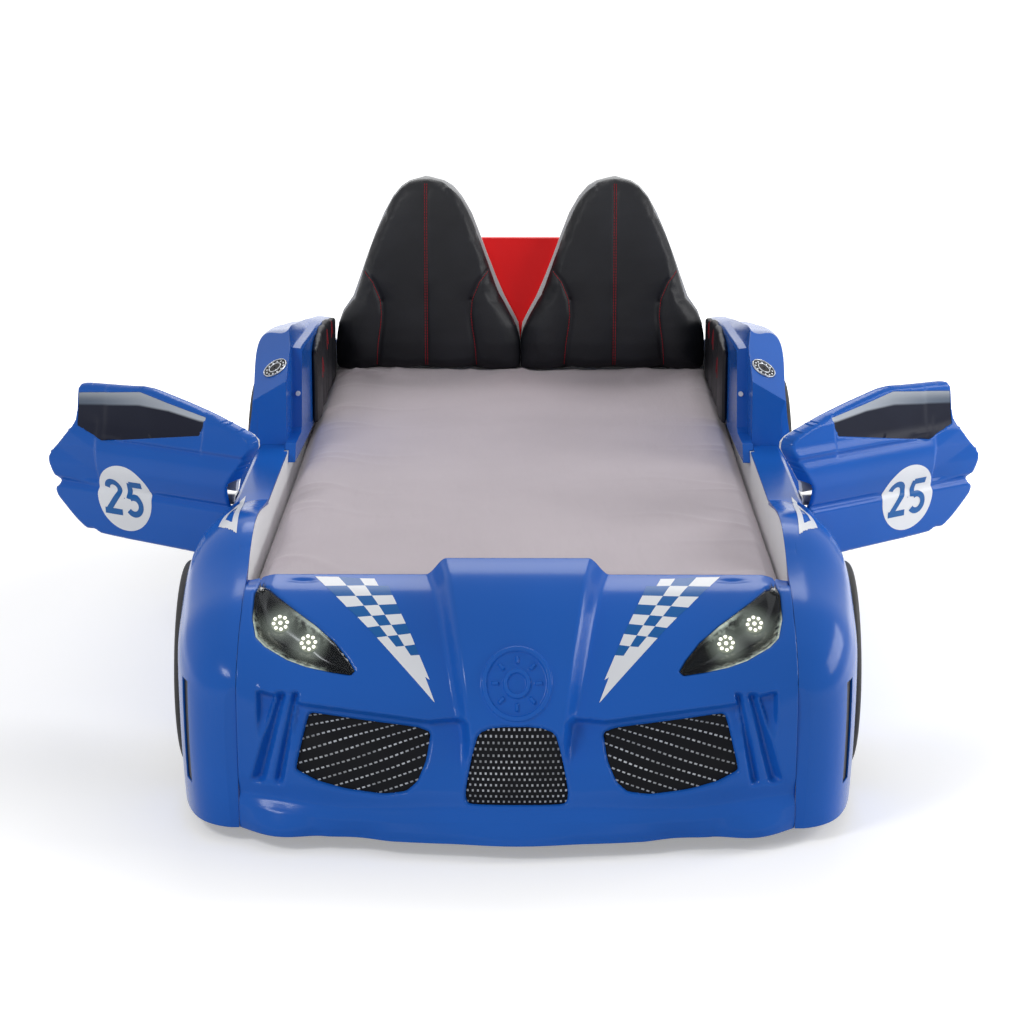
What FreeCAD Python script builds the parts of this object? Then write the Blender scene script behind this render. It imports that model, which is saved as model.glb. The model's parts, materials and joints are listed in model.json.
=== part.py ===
import FreeCAD, Part

import math
import os

from FreeCAD import Placement, Rotation, Vector

# A children's race-car bed. X runs across the bed (+X on the right when its nose is looked at),
# the nose points along -Y, Z is up, and the origin lies on the floor under the middle leg.

DIMENSIONS = (
    ("mattress_length", 1900, "mattress, along the bed"),
    ("mattress_width", 920, "mattress in its cover, across the bed"),
    ("mattress_thickness", 182, "mattress"),
    ("mattress_round", 24, "radius of the mattress's edges"),
    ("mattress_clearance", 1.5, "mattress to foot board and to head board"),
    ("side_gap", 20, "mattress to each side board"),
    ("head_inner", 1058, "inner face of the head board"),
    ("board", 18, "thickness of the boards"),
    ("board_foot", 40, "underside of the boards above the floor"),
    ("foot_board_top", 402, "top of the foot board"),
    ("head_board_top", 485, "top of the head board"),
    ("red_panel_top", 736, "top of the red panel"),
    ("red_panel_width", 600, "red panel"),
    ("rail_width", 30, "slat rails"),
    ("rail_height", 40, "slat rails and centre beam"),
    ("slat_base", 218, "underside of the slats"),
    ("slat_thickness", 12, "slats"),
    ("slat_width", 70, "slats"),
    ("slat_count", 14, "slats"),
    ("beam_width", 60, "centre beam"),
    ("leg_side", 40, "centre legs"),
    ("leg_pitch", 600, "centre legs, along the bed"),
    ("glide_height", 10, "glides under the centre legs"),
    ("glide_radius", 22, "glides under the centre legs"),
    ("foot_length", 90, "feet under the side boards"),
    ("foot_width", 30, "feet under the side boards"),
    ("skin", 4, "moulded panels"),
    ("seam", 0.6, "gap at a seam between moulded panels"),
    ("seat_gap", 0.3, "gap between a curved piece and its seat"),
    ("skirt", 30, "lower edge of the moulded panels above the floor"),
    ("bonnet_overlap", 25, "bonnet over the mattress's foot end"),
    ("bonnet_edge", 420, "rear edge of the bonnet"),
    ("bulge_width", 250, "raised middle of the bonnet at its rear edge"),
    ("bulge_nose_width", 144, "raised middle of the bonnet at the nose"),
    ("bulge_height", 34, "raised middle of the bonnet"),
    ("bulge_nose_height", 16, "raised middle of the bonnet at the nose"),
    ("sill_top", 450, "top of the sills"),
    ("sill_flat", 58, "width of the flat on each sill"),
    ("sill_wall", 68, "outer wall of each sill, outside the side board's inner face"),
    ("sill_ledge", 308, "ledge under each door"),
    ("fender_rear", 85, "front fender's rear end in front of the hinge axis"),
    ("fender_tail", 44, "front fender's outer tail in front of the hinge axis"),
    ("arch_gap", 15, "wheel arch to tyre"),
    ("front_wheel", 191, "radius of the front tyres"),
    ("rear_wheel", 230, "radius of the rear tyres"),
    ("wheel_foot", 2, "tyres above the floor"),
    ("tyre_width", 60, "tyres"),
    ("tyre_round", 12, "radius of the tyres' edges"),
    ("wheel_face", 138, "outer face of the tyres, outside the side board's inner face"),
    ("rim_share", 0.66, "radius of each rim, as a share of its tyre's"),
    ("hub_radius", 34, "hub caps"),
    ("front_axle", 225, "front wheels behind the foot board's inner face"),
    ("rear_axle", 358, "rear wheels in front of the head board's inner face"),
    ("tail_overhang", 57, "rear fenders behind the head board's inner face"),
    ("inner_wall", 15, "rear fender's inner wall inside the side board's face"),
    ("inner_wall_foot", 401, "lower edge of the rear fender's inner wall"),
    ("door_skin", 120, "outer face of a closed door, outside the side board's inner face"),
    ("door_depth", 28, "door shell"),
    ("door_panel", 9, "door's inner panel"),
    ("jamb_back", 402, "foot of the door jamb behind the hinge axis"),
    ("window_recess", 0.8, "window below the door's skin"),
    ("window_thickness", 3, "window"),
    ("hinge_out", 95, "hinge axis outside the side board's inner face"),
    ("hinge_back", 509.4, "hinge axis behind the foot board's inner face"),
    ("left_open", 59, "left door at rest, degrees"),
    ("right_open", 54, "right door at rest, degrees"),
    ("pin_radius", 4, "hinge pins"),
    ("pin_clearance", 0.06, "hinge pin to knuckle, radial"),
    ("knuckle_radius", 7.5, "hinge knuckles"),
    ("hinge_foot", 335, "lower end of each hinge"),
    ("hinge_height", 110, "hinges"),
    ("knuckle_height", 20, "fixed knuckles"),
    ("leaf_thickness", 3, "hinge leaves"),
    ("leaf_length", 74, "moving hinge leaf"),
    ("screw_radius", 2.5, "hinge screws"),
    ("seat_middle", 228, "middle of each seat back from the bed's middle"),
    ("seat_foot", 431, "lower edge of the seat backs"),
    ("seat_board", 12, "board behind each seat pad"),
    ("seat_border", 4, "seat board beyond the seat pad, on the inner side"),
    ("side_pad_length", 570, "side pads"),
    ("side_pad_thickness", 13, "side pads"),
    ("side_pad_channels", 4, "side pads"),
    ("side_pad_front", 586, "front end of the side pads in front of the head board's inner face"),
    ("side_pad_foot", 407, "lower edge of the side pads"),
    ("grille_thickness", 3, "grille meshes"),
    ("grille_lap", 8, "grille mesh behind its opening's edge"),
    ("lamp_depth", 36, "headlight housings"),
    ("lamp_wall", 3, "headlight housings"),
    ("lamp_gap", 1, "headlight lens to its opening"),
    ("led_radius", 20, "light modules"),
    ("led_height", 14, "light modules"),
    ("driver_length", 130, "light driver"),
    ("driver_width", 60, "light driver"),
    ("driver_height", 34, "light driver"),
    ("driver_foot", 300, "light driver's underside above the floor"),
    ("buffer_radius", 5, "door buffers"),
    ("buffer_height", 5, "door buffers"),
    ("buffer_up", 530, "door buffers above the floor"),
)

doc = FreeCAD.newDocument("CarBed")
sheet = doc.addObject("Spreadsheet::Sheet", "Dimensions")
for row, (alias, value, words) in enumerate(DIMENSIONS, start=1):
    sheet.set("A%d" % row, words)
    sheet.set("B%d" % row, str(value))
    sheet.setAlias("B%d" % row, alias)
doc.recompute()
size = {alias: float(sheet.get(alias)) for alias, value, words in DIMENSIONS}

LEFT, RIGHT = -1, 1
SIDES = (("left", LEFT), ("right", RIGHT))

BOARD_IN = size["mattress_width"] / 2 + size["side_gap"]
BOARD_OUT = BOARD_IN + size["board"]
HEAD = size["head_inner"]
FOOT = HEAD - size["mattress_length"] - 2 * size["mattress_clearance"]
BONNET_REAR = FOOT + size["bonnet_overlap"]
SKIN = size["skin"]
SKIRT = size["skirt"]
HINGE_X = BOARD_IN + size["hinge_out"]
SILL_WALL = BOARD_IN + size["sill_wall"]
DOOR_SKIN = BOARD_IN + size["door_skin"]
HINGE_Y = FOOT + size["hinge_back"]
FRONT_AXLE = FOOT + size["front_axle"]
REAR_AXLE = HEAD - size["rear_axle"]
TAIL = HEAD + size["tail_overhang"]
MATTRESS_FOOT = size["slat_base"] + size["slat_thickness"]
FAR = 3000.0

nodes = []


# ---------------------------------------------------------------- helpers

def words(text):
    """An expression on the sheet: {name} stands for the cell with that alias."""
    return text.replace("{", "Dimensions.").replace("}", "")


def node(piece, label):
    piece.Label = label
    nodes.append(piece)
    return piece


def bind(piece, **expressions):
    for prop, text in expressions.items():
        piece.setExpression(prop.replace("__", "."), words(text))
    return piece


def box(name, length, width, height, across, along, up):
    """A block whose sizes and near corner are expressions on the sheet."""
    piece = doc.addObject("Part::Box", name)
    return bind(piece, Length=length, Width=width, Height=height, Placement__Base__x=across,
                Placement__Base__y=along, Placement__Base__z=up)


def rod(name, radius, height, across, along, up):
    """An upright cylinder whose sizes and foot are expressions on the sheet."""
    piece = doc.addObject("Part::Cylinder", name)
    return bind(piece, Radius=radius, Height=height, Placement__Base__x=across,
                Placement__Base__y=along, Placement__Base__z=up)


def group(name, pieces):
    """Separate solids of one kind under one name."""
    piece = doc.addObject("Part::Compound", name)
    piece.Links = pieces
    return node(piece, name)


def feature(name, shape, placement=None):
    """A shaped piece; a compound of one solid becomes that solid."""
    if shape.ShapeType == "Compound" and len(shape.Solids) == 1:
        shape = shape.Solids[0]
    piece = doc.addObject("Part::Feature", name)
    piece.Shape = shape
    if placement is not None:
        piece.Placement = placement
    return node(piece, name)


def mirrored(shape, side):
    """The right-hand shape as it is, or turned over for the left."""
    return shape if side == RIGHT else shape.mirror(Vector(0, 0, 0), Vector(1, 0, 0))


def prism_y(points, near, far):
    """A prism along Y on an outline of (x, z) points."""
    face = Part.Face(Part.makePolygon([Vector(x, near, z) for x, z in points + points[:1]]))
    return face.extrude(Vector(0, far - near, 0))


def prism_x(points, near, far):
    """A prism along X on an outline of (y, z) points."""
    face = Part.Face(Part.makePolygon([Vector(near, y, z) for y, z in points + points[:1]]))
    return face.extrude(Vector(far - near, 0, 0))


def block(x0, x1, y0, y1, z0, z1):
    return Part.makeBox(x1 - x0, y1 - y0, z1 - z0, Vector(x0, y0, z0))


def grown(points, distance):
    """An outline moved outwards by a distance, corner by corner."""
    face = Part.Face(Part.makePolygon([Vector(a, b, 0) for a, b in points + points[:1]]))
    moved = face.makeOffset2D(distance, join=2)
    return [(v.X, v.Y) for v in moved.OuterWire.OrderedVertexes]


def smooth(share):
    share = min(1.0, max(0.0, share))
    return share * share * (3 - 2 * share)


def along(stations, y):
    """The values at y, from stations of (y, value, value ...), on straight stretches."""
    if y <= stations[0][0]:
        return stations[0][1:]
    for low, high in zip(stations, stations[1:]):
        if y <= high[0]:
            share = (y - low[0]) / (high[0] - low[0])
            return tuple(a + (b - a) * share for a, b in zip(low[1:], high[1:]))
    return stations[-1][1:]


# ---------------------------------------------------------------- bonnet and bumper surface

# The nose's profile in its middle and at its sides: (behind the bonnet's rear edge, above the
# bonnet's rear edge), from that edge down to the skirt.
MIDDLE_PROFILE = ((0, 0), (-75, -22), (-150, -70), (-212, -132), (-254, -205), (-276, -280),
                  (-294, -345), (-305, None))
SIDE_PROFILE = ((0, 0), (-62, -12), (-130, -44), (-190, -86), (-226, -135), (-230, -220),
                (-226, -315), (-218, None))
PROFILE_END = len(MIDDLE_PROFILE) - 1
PROFILE_POWER = 2.2
FASCIA_HALF = BOARD_IN - 2
BULGE_END = 4.3
BULGE_SLOPE = (38, 24)
CORNER_DROP = 11
CORNER_FROM = 425
LIP = ((0, 120, 8), (270, 60, -8), (415, 85, 27))


def cardinal(points, place):
    """A smooth curve through points, at place 0 ... len(points) - 1."""
    last = len(points) - 1
    place = min(max(place, 0.0), last - 1e-9)
    k = int(place)
    f = place - k

    def point(i):
        if i < 0:
            return tuple(2 * a - b for a, b in zip(points[0], points[1]))
        if i > last:
            return tuple(2 * a - b for a, b in zip(points[last], points[last - 1]))
        return points[i]

    before, start, end, after = (point(k + i) for i in (-1, 0, 1, 2))
    return tuple(
        0.5 * (2 * b + (c - a) * f + (2 * a - 5 * b + 4 * c - d) * f ** 2
               + (3 * b - a - 3 * c + d) * f ** 3)
        for a, b, c, d in zip(before, start, end, after))


def nose_profile(x, place):
    """The nose's profile at x, blended from its middle to its sides, with its lip and corners."""
    share = min(1.0, abs(x) / FASCIA_HALF) ** PROFILE_POWER
    foot = SKIRT - size["bonnet_edge"]
    corner = CORNER_DROP * smooth((abs(x) - CORNER_FROM) / (FASCIA_HALF - CORNER_FROM)) * smooth(1 - place)
    lip = sum(reach * max(0.0, 1 - ((abs(x) - middle) / half) ** 2) ** 2 for middle, half, reach in LIP)
    points = [tuple(m * (1 - share) + s * share for m, s in
                    zip((a[0], foot if a[1] is None else a[1]), (b[0], foot if b[1] is None else b[1])))
              for a, b in zip(MIDDLE_PROFILE, SIDE_PROFILE)]
    y, z = cardinal(points, place)
    return (y - lip * smooth(place - PROFILE_END + 1), z - corner)


def nose_point(x, place, inwards=0.0):
    """A point of the nose's surface, a distance inwards of it along its profile's normal."""
    step = 0.02
    y, z = nose_profile(x, place)
    y0, z0 = nose_profile(x, max(place - step, 0))
    y1, z1 = nose_profile(x, min(place + step, PROFILE_END))
    length = math.hypot(y1 - y0, z1 - z0)
    out_y, out_z = (z1 - z0) / length, (y0 - y1) / length
    share = min(1.0, place / BULGE_END)
    edge = (size["bulge_width"] * (1 - share) + size["bulge_nose_width"] * share) / 2
    slope = BULGE_SLOPE[0] + (BULGE_SLOPE[1] - BULGE_SLOPE[0]) * share
    if place <= BULGE_END:
        rise = size["bulge_height"] * (1 - share) ** 0.6 + size["bulge_nose_height"] * share
    else:
        rise = size["bulge_nose_height"] * max(0.0, 1 - (place - BULGE_END) / 1.5)
    out = rise * smooth((edge + slope - abs(x)) / slope) - inwards
    return Vector(x, BONNET_REAR + y + out_y * out, size["bonnet_edge"] + z + out_z * out)


def nose_layer(outer, inner):
    """A curved plate between two distances inwards of the nose's surface."""
    across = [-1, -0.9, -0.78, -0.64, -0.52, -0.44, -0.36, -0.32, -0.28, -0.24, -0.2, -0.15, -0.07]
    stations = [FASCIA_HALF * a for a in across + [0.0] + [-a for a in reversed(across)]]
    steps = 22
    places = [PROFILE_END * i / steps for i in range(steps + 1)]
    faces = []
    for inwards in (outer, inner):
        surface = Part.BSplineSurface()
        surface.interpolate([[nose_point(x, p, inwards) for p in places] for x in stations])
        faces.append(surface.toShape())
    edges = [sorted(face.Edges, key=edge_place) for face in faces]
    closing = [Part.makeRuledSurface(a, b) for a, b in zip(*edges)]
    shell = Part.makeShell(faces + closing)
    shell.sewShape()
    solid = Part.makeSolid(shell)
    if solid.Volume < 0:
        solid.reverse()
    return solid


def edge_place(edge):
    """Sorts the four edges of a nose surface alike on every layer."""
    middle = edge.CenterOfMass
    return (round(middle.x / 50), middle.z)


# ---------------------------------------------------------------- frame of boards

REAR_BOARD_TOP = 505


def board_top(gap):
    """Top of the side boards under the sills."""
    return size["sill_top"] - SKIN - gap


def board_step():
    """Where the side boards rise, behind the inner wall's front edge."""
    return HINGE_Y + 580

def side_board(inner, thickness):
    """A board from inner outwards, whose top follows the moulded panels just above it."""
    under = SKIN + 0.5
    top = [(y, fender_top(y) - under) for y in (FOOT - size["board"], BONNET_REAR, BONNET_REAR + 35,
                                                BONNET_REAR + 80, BONNET_REAR + 150,
                                                BONNET_REAR + 220, BONNET_REAR + 290)]
    rear = board_step()
    front = [Vector(inner, y, z) for y, z in top]
    curve = Part.BSplineCurve()
    curve.interpolate(front)
    flat = size["sill_top"] - under
    corners = [front[-1]]
    for y, z in ((HINGE_Y - size["fender_rear"], flat), (rear, flat), (rear + 30, REAR_BOARD_TOP),
                 (HEAD + size["board"], REAR_BOARD_TOP), (HEAD + size["board"], size["board_foot"]),
                 (FOOT - size["board"], size["board_foot"])):
        corners.append(Vector(inner, y, z))
    wire = Part.Wire([curve.toShape()] + Part.makePolygon(corners + [front[0]]).Edges)
    return Part.Face(wire).extrude(Vector(thickness, 0, 0))


def board_space():
    """The room that the front fenders leave for a side board."""
    space = side_board(BOARD_IN - 10, size["board"] + 10.5)
    space.translate(Vector(0, 0, 0.4))
    return space


def frame_of_boards():
    for name, side in SIDES:
        feature("side_board_" + name, mirrored(side_board(BOARD_IN, size["board"]), side))
    width = "{mattress_width} + 2 * {side_gap}"
    left = "-{mattress_width} / 2 - {side_gap}"
    foot = "{head_inner} - {mattress_length} - 2 * {mattress_clearance}"
    node(box("foot_board", width, "{board}", "{foot_board_top} - {board_foot}", left,
             foot + " - {board}", "{board_foot}"), "foot_board")
    node(box("head_board", width, "{board}", "{head_board_top} - {board_foot}", left,
             "{head_inner}", "{board_foot}"), "head_board")
    node(box("red_back_panel", "{red_panel_width}", "{board}", "{red_panel_top} - {head_board_top}",
             "-{red_panel_width} / 2", "{head_inner}", "{head_board_top}"), "red_back_panel")
    inside = "{mattress_length} + 2 * {mattress_clearance}"
    for name, near in (("left", left), ("right", "{mattress_width} / 2 + {side_gap} - {rail_width}")):
        node(box("slat_rail_" + name, "{rail_width}", inside, "{rail_height}", near, foot,
                 "{slat_base} - {rail_height}"), "slat_rail_" + name)
    node(box("centre_beam", "{beam_width}", inside, "{rail_height}", "-{beam_width} / 2", foot,
             "{slat_base} - {rail_height}"), "centre_beam")
    slats = []
    pitch = "({mattress_length} + 2 * {mattress_clearance} - {slat_width} - 40) / ({slat_count} - 1)"
    for k in range(int(size["slat_count"])):
        slats.append(box("slat_%d" % (k + 1), width, "{slat_width}", "{slat_thickness}", left,
                         "%s + 20 + %d * %s" % (foot, k, pitch), "{slat_base}"))
    group("bed_slats", slats)
    legs, glides, feet = [], [], []
    for k in (-1, 0, 1):
        legs.append(box("leg_%d" % (k + 2), "{leg_side}", "{leg_side}",
                        "{slat_base} - {rail_height} - {glide_height}", "-{leg_side} / 2",
                        "%d * {leg_pitch} - {leg_side} / 2" % k, "{glide_height}"))
        glides.append(rod("glide_%d" % (k + 2), "{glide_radius}", "{glide_height}", "0 * {board}",
                          "%d * {leg_pitch}" % k, "0 * {board}"))
    group("centre_legs", legs)
    group("leg_glides", glides)
    middle = "({mattress_width} / 2 + {side_gap} + {board} / 2)"
    for name, side in SIDES:
        for k, share in enumerate((0.04, 0.36, 0.68, 0.97)):
            feet.append(box("foot_%s_%d" % (name, k + 1), "{foot_width}", "{foot_length}", "{board_foot}",
                            "%d * %s - {foot_width} / 2" % (side, middle),
                            "%s + %g * {mattress_length} - {foot_length} / 2" % (foot, share),
                            "0 * {board}"))
    group("board_feet", feet)


def mattress():
    base = box("mattress_block", "{mattress_width}", "{mattress_length}", "{mattress_thickness}",
               "-{mattress_width} / 2", "{head_inner} - {mattress_length} - {mattress_clearance}",
               "{slat_base} + {slat_thickness}")
    doc.recompute()
    piece = doc.addObject("Part::Fillet", "mattress")
    piece.Base = base
    low = MATTRESS_FOOT + size["mattress_thickness"] * 0.2
    chosen = [k for k, edge in enumerate(base.Shape.Edges, start=1) if edge.CenterOfMass.z > low]
    piece.Edges = [(k, size["mattress_round"], size["mattress_round"]) for k in chosen]
    node(piece, "mattress")


# ---------------------------------------------------------------- fenders and sills

# Front fender: (behind the bonnet's rear edge, body outside the side board's inner face, shoulder
# below the top).
FRONT_FENDER = ((-226, 20, 50), (-219, 40, 60), (-203, 63, 75), (-181, 81, 90), (-150, 96, 105),
                (-100, 111, 122), (-40, 121, 138), (40, 126, 148), (120, 127, 150), (220, 126, 150),
                (320, 124, 152), (390, 122, 152), (442, 120, 152))
# The same fender's inner top edge: (behind the bonnet's rear edge, above that edge).
FENDER_CREST = ((0, -11), (20, 8), (76, 38), (155, 58), (219, 58), (292, 49), (355, 40), (390, 36),
                (460, 32))
# Rear fender: (behind the hinge axis, body outside the side board's inner face, the same at the
# waist, waist, crest outside, crest inside, top of the inner wall, foot of the inner wall above
# inner_wall_foot).
REAR_FENDER = ((330, 118, 76, 545, 640, 650, 626, 24), (436, 119, 78, 545, 643, 653, 626, 18),
               (536, 120, 85, 542, 646, 656, 624, 12), (636, 121, 94, 540, 646, 657, 620, 7),
               (786, 123, 107, 515, 626, 637, 608, 0), (936, 126, 120, 490, 604, 616, 598, 0),
               (1086, 127, 125, 470, 581, 593, 586, 0), (1236, 124, 123, 455, 557, 569, 570, 0),
               (1386, 112, 111, 440, 533, 545, 548, 0), (1450, 95, 93, 430, 521, 532, 536, 0))
CREST_OUT = 45
CREST_IN = 16
RIM_OUT = 7
# The jamb: its upper face runs through this point, outside the side board's inner face and behind
# the jamb's foot, rising backwards and falling outwards.
JAMB_LEAN = 0.12
UPPER_FACE = (71, 14, 546)
UPPER_RISE = 0.43
UPPER_FALL = 0.55
# The inner wall's front edge: (behind the hinge axis, above the floor).
WALL_FRONT = ((343.6, 424), (377, 459), (511, 452), (527, 460), (568, 640))


def fender_top(y):
    """Height of the front fender's inner edge: the bonnet's side, then the fender's own crest."""
    back = y - BONNET_REAR
    if back >= 0:
        points = FENDER_CREST
        for k, (low, high) in enumerate(zip(points, points[1:])):
            if back <= high[0]:
                share = k + (back - low[0]) / (high[0] - low[0])
                return size["bonnet_edge"] + cardinal(points, share)[1]
        return size["bonnet_edge"] + points[-1][1]
    low, high = 0.0, 4.5
    for turn in range(30):
        middle = (low + high) / 2
        if nose_profile(FASCIA_HALF, middle)[0] > back:
            low = middle
        else:
            high = middle
    return size["bonnet_edge"] + nose_profile(FASCIA_HALF, low)[1]


def shoulder_arc(x_in, x_out, low, high, power, count):
    """A rounded shoulder from (x_out, low) to (x_in, high)."""
    points = []
    for k in range(count + 1):
        turn = math.pi / 2 * k / count
        points.append((x_in + (x_out - x_in) * math.cos(turn) ** (2 / power),
                       low + (high - low) * math.sin(turn) ** (2 / power)))
    return points


def section_wire(y, curve_points, corners):
    """A closed section at y: one smooth curve, and straight lines back to its start."""
    curve = Part.BSplineCurve()
    curve.interpolate([Vector(x, y, z) for x, z in curve_points])
    ends = [curve_points[-1]] + corners + [curve_points[0]]
    lines = Part.makePolygon([Vector(x, y, z) for x, z in ends]).Edges
    return Part.Wire([curve.toShape()] + lines)


def front_fender_body(inset):
    """The front fender's outside as a block, all of it drawn in by inset."""
    wires = []
    foot = SKIRT - 4 * inset
    inner = BOARD_IN - 1.4
    for back, half, drop in FRONT_FENDER:
        y = BONNET_REAR + back
        if back == FRONT_FENDER[0][0]:
            y += inset
        if back == FRONT_FENDER[-1][0]:
            y = HINGE_Y - size["fender_tail"] - inset
        top = fender_top(y) - inset * 1.15
        half = BOARD_IN + half - inset
        low = max(top - drop, SKIRT + 40)
        curve = [(half - 7, foot), (half - 2, foot + (low - foot) * 0.4), (half, foot + (low - foot) * 0.75)]
        curve += shoulder_arc(inner, half, low, top, 2.5, 5)
        wires.append(section_wire(y, curve, [(inner, foot)]))
    return Part.makeLoft(wires, True, False)


def front_fender_hollow():
    """The room inside the front fender, up to a flange beside the side board."""
    hollow = front_fender_body(SKIN).cut(block(0, BOARD_IN + SKIN, -FAR, FAR, -FAR, FAR))
    return hollow.cut(block(0, BOARD_OUT + SKIN, FOOT - size["board"] - 4, FAR, -FAR, FAR))


def wheel_arch(axle, radius):
    place = Vector(BOARD_OUT + 16, axle, size["wheel_foot"] + radius)
    return Part.makeCylinder(radius + size["arch_gap"], 200, place, Vector(1, 0, 0))


def vent_box(grow):
    """The slot in the front fender's corner, in front of the wheel."""
    depth, width, height = 60, 34 + 2 * grow, 185 + 2 * grow
    slot = Part.makeBox(depth, width, height, Vector(-depth / 2, -width / 2, -height / 2))
    slot.Placement = Placement(Vector(BOARD_IN + 94, BONNET_REAR - 150, 182), Rotation(Vector(0, 0, 1), -28))
    return slot


def front_fenders():
    outside = front_fender_body(0)
    rear = HINGE_Y - size["fender_rear"]
    board_end = block(BOARD_IN - 10, BOARD_OUT + 3 * SKIN, FOOT - size["board"] - 3, FAR, -10,
                      size["bonnet_edge"] - SKIN - 14)
    sill_space = block(BOARD_IN - 30, SILL_WALL + 1, rear, FAR, -10, FAR)
    shell = outside.cut(front_fender_hollow()).cut(board_end).cut(board_space()).cut(sill_space)
    shell = shell.cut(wheel_arch(FRONT_AXLE, size["front_wheel"])).cut(vent_box(0))
    near, far = front_fender_body(SKIN + size["seat_gap"]), front_fender_body(SKIN + 3 + size["seat_gap"])
    mesh = near.cut(far).common(vent_box(6))
    for name, side in SIDES:
        feature("front_fender_" + name, mirrored(largest(shell), side))
        feature("vent_mesh_" + name, mirrored(largest(mesh), side))


def largest(shape):
    """The main solid of a cut shape, without stray slivers."""
    return max(shape.Solids, key=lambda solid: solid.Volume)


def jamb_foot():
    """Foot of the door jamb, at sill height."""
    return HINGE_Y + size["jamb_back"]


def jamb_cutters(inset):
    """What lies in front of the door jamb, moved back by inset."""
    foot = jamb_foot() + inset
    top = size["sill_top"]
    rise = 200
    front = foot - 900
    lower = prism_x([(front, -50), (foot, -50), (foot, top), (foot + JAMB_LEAN * rise, top + rise),
                     (front, top + rise)], BOARD_IN + RIM_OUT, FAR)
    deep, shallow = SILL_WALL, SILL_WALL + 64
    rebate = [Vector(deep, foot + 8, 300), Vector(shallow, foot + 36, 300), Vector(FAR, foot + 36, 300),
              Vector(FAR, front, 300), Vector(deep, front, 300), Vector(deep, foot + 8, 300)]
    rebate = Part.Face(Part.makePolygon(rebate)).extrude(Vector(0, 0, 330))
    normal = Vector(UPPER_FALL, -UPPER_RISE, 1).normalize()
    slab = Part.makeBox(1800, 1800, 600, Vector(-900, -900, 0))
    place = Vector(BOARD_IN + UPPER_FACE[0], jamb_foot() + UPPER_FACE[1], UPPER_FACE[2]) - normal * inset
    slab.Placement = Placement(place, Rotation(Vector(0, 0, 1), normal))
    upper = slab.common(block(BOARD_IN - 60, FAR, front, FAR, top, FAR))
    edge = [(HINGE_Y + y + inset, z - inset) for y, z in WALL_FRONT]
    tongue = [(front, -50), (edge[0][0], -50)] + edge + [(edge[-1][0], 900), (front, 900)]
    return [lower, rebate, upper, prism_x(tongue, BOARD_IN - 60, BOARD_IN + RIM_OUT + inset)]


def rear_fender_body(inset):
    """The rear fender's outside as a block over the side board, drawn in by inset."""
    wall = BOARD_IN - size["inner_wall"] + inset
    stretch = (TAIL - HINGE_Y) / REAR_FENDER[-1][0]
    wires = []
    for back, half, waist, waist_top, crest, crest_in, wall_top, rise in REAR_FENDER:
        y = HINGE_Y + back * stretch
        if back == REAR_FENDER[-1][0]:
            y = TAIL - inset
        half, waist = BOARD_IN + half - inset, BOARD_IN + waist - inset
        foot = SKIRT - 5 * inset
        mid = BOARD_IN + CREST_OUT
        curve = [(half - 7, foot), (half - 2, 150), (half, 290), (half - (half - waist) * 0.5, 420)]
        curve += shoulder_arc(mid, waist, waist_top, crest - inset, 3.0, 5)
        curve += [(BOARD_IN + CREST_IN + inset / 2, crest_in - inset)]
        low = size["inner_wall_foot"] + rise - 5 * inset
        ledge = min(wall_top, crest_in - 2) - inset
        corners = [(BOARD_IN + 5 + inset, ledge + 2), (wall + 4, ledge), (wall, ledge - 6), (wall, low)]
        if inset == 0:
            corners += [(BOARD_OUT + 0.5, low), (BOARD_OUT + 0.5, foot)]
        else:
            corners += [(wall, foot)]
        wires.append(section_wire(y, curve, corners))
    return Part.makeLoft(wires, True, False)


def rear_fenders():
    outside = rear_fender_body(0)
    inside = rear_fender_body(SKIN)
    for cutter in jamb_cutters(0):
        outside = outside.cut(cutter)
    for cutter in jamb_cutters(SKIN):
        inside = inside.cut(cutter)
    shell = outside.cut(inside).cut(wheel_arch(REAR_AXLE, size["rear_wheel"]))
    end = HEAD + size["board"] + 0.5
    shell = shell.cut(block(BOARD_IN - 0.3, BOARD_OUT + 0.5, -FAR, end, -10, board_top(0) + 0.5))
    shell = shell.cut(block(BOARD_IN - 0.3, BOARD_OUT + 0.5, board_step() - 1, end, -10, REAR_BOARD_TOP + 1))
    shell = shell.cut(block(0, BOARD_IN + 1, HEAD - 0.5, end, -10, size["head_board_top"] + 0.5))
    for name, side in SIDES:
        feature("rear_fender_" + name, mirrored(largest(shell), side))


def sills():
    """Moulded sill covers between the fenders: a flat top, a rebate for the door, and a skirt."""
    top, wall, ledge = size["sill_top"], SILL_WALL, size["sill_ledge"]
    flat = BOARD_IN + size["sill_flat"]
    out = DOOR_SKIN - 6
    outer = [(BOARD_IN, top), (flat, top), (wall - 3, top - 5), (wall, top - 14), (wall, ledge + 4),
             (out - 6, ledge - 4), (out, ledge - 14), (out - 2, ledge - 120), (out - 10, SKIRT)]
    inner = [(out - 10 - SKIN, SKIRT), (out - 2 - SKIN, ledge - 120), (out - SKIN, ledge - 16),
             (out - 8, ledge - 4 - SKIN), (wall - SKIN, ledge), (wall - SKIN, top - 15),
             (wall - 3 - SKIN, top - 9), (flat - 2, top - SKIN), (BOARD_IN, top - SKIN)]
    near = HINGE_Y - size["fender_rear"] + size["seam"]
    shape = prism_y(outer + inner, near, jamb_foot() - size["seam"])
    tail_space = block(wall + 0.9, FAR, -FAR, HINGE_Y - size["fender_tail"] + size["seam"], -10, FAR)
    rim_space = block(0, BOARD_IN + RIM_OUT + 0.5, HINGE_Y + WALL_FRONT[0][0] - 3, FAR, top - 20, FAR)
    shape = shape.cut(tail_space).cut(rim_space)
    for hole in hinge_screw_places():
        shape = shape.cut(screw_shank(hole, size["screw_radius"] + 0.1))
    for name, side in SIDES:
        feature("sill_cover_" + name, mirrored(shape, side))


# ---------------------------------------------------------------- nose

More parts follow.
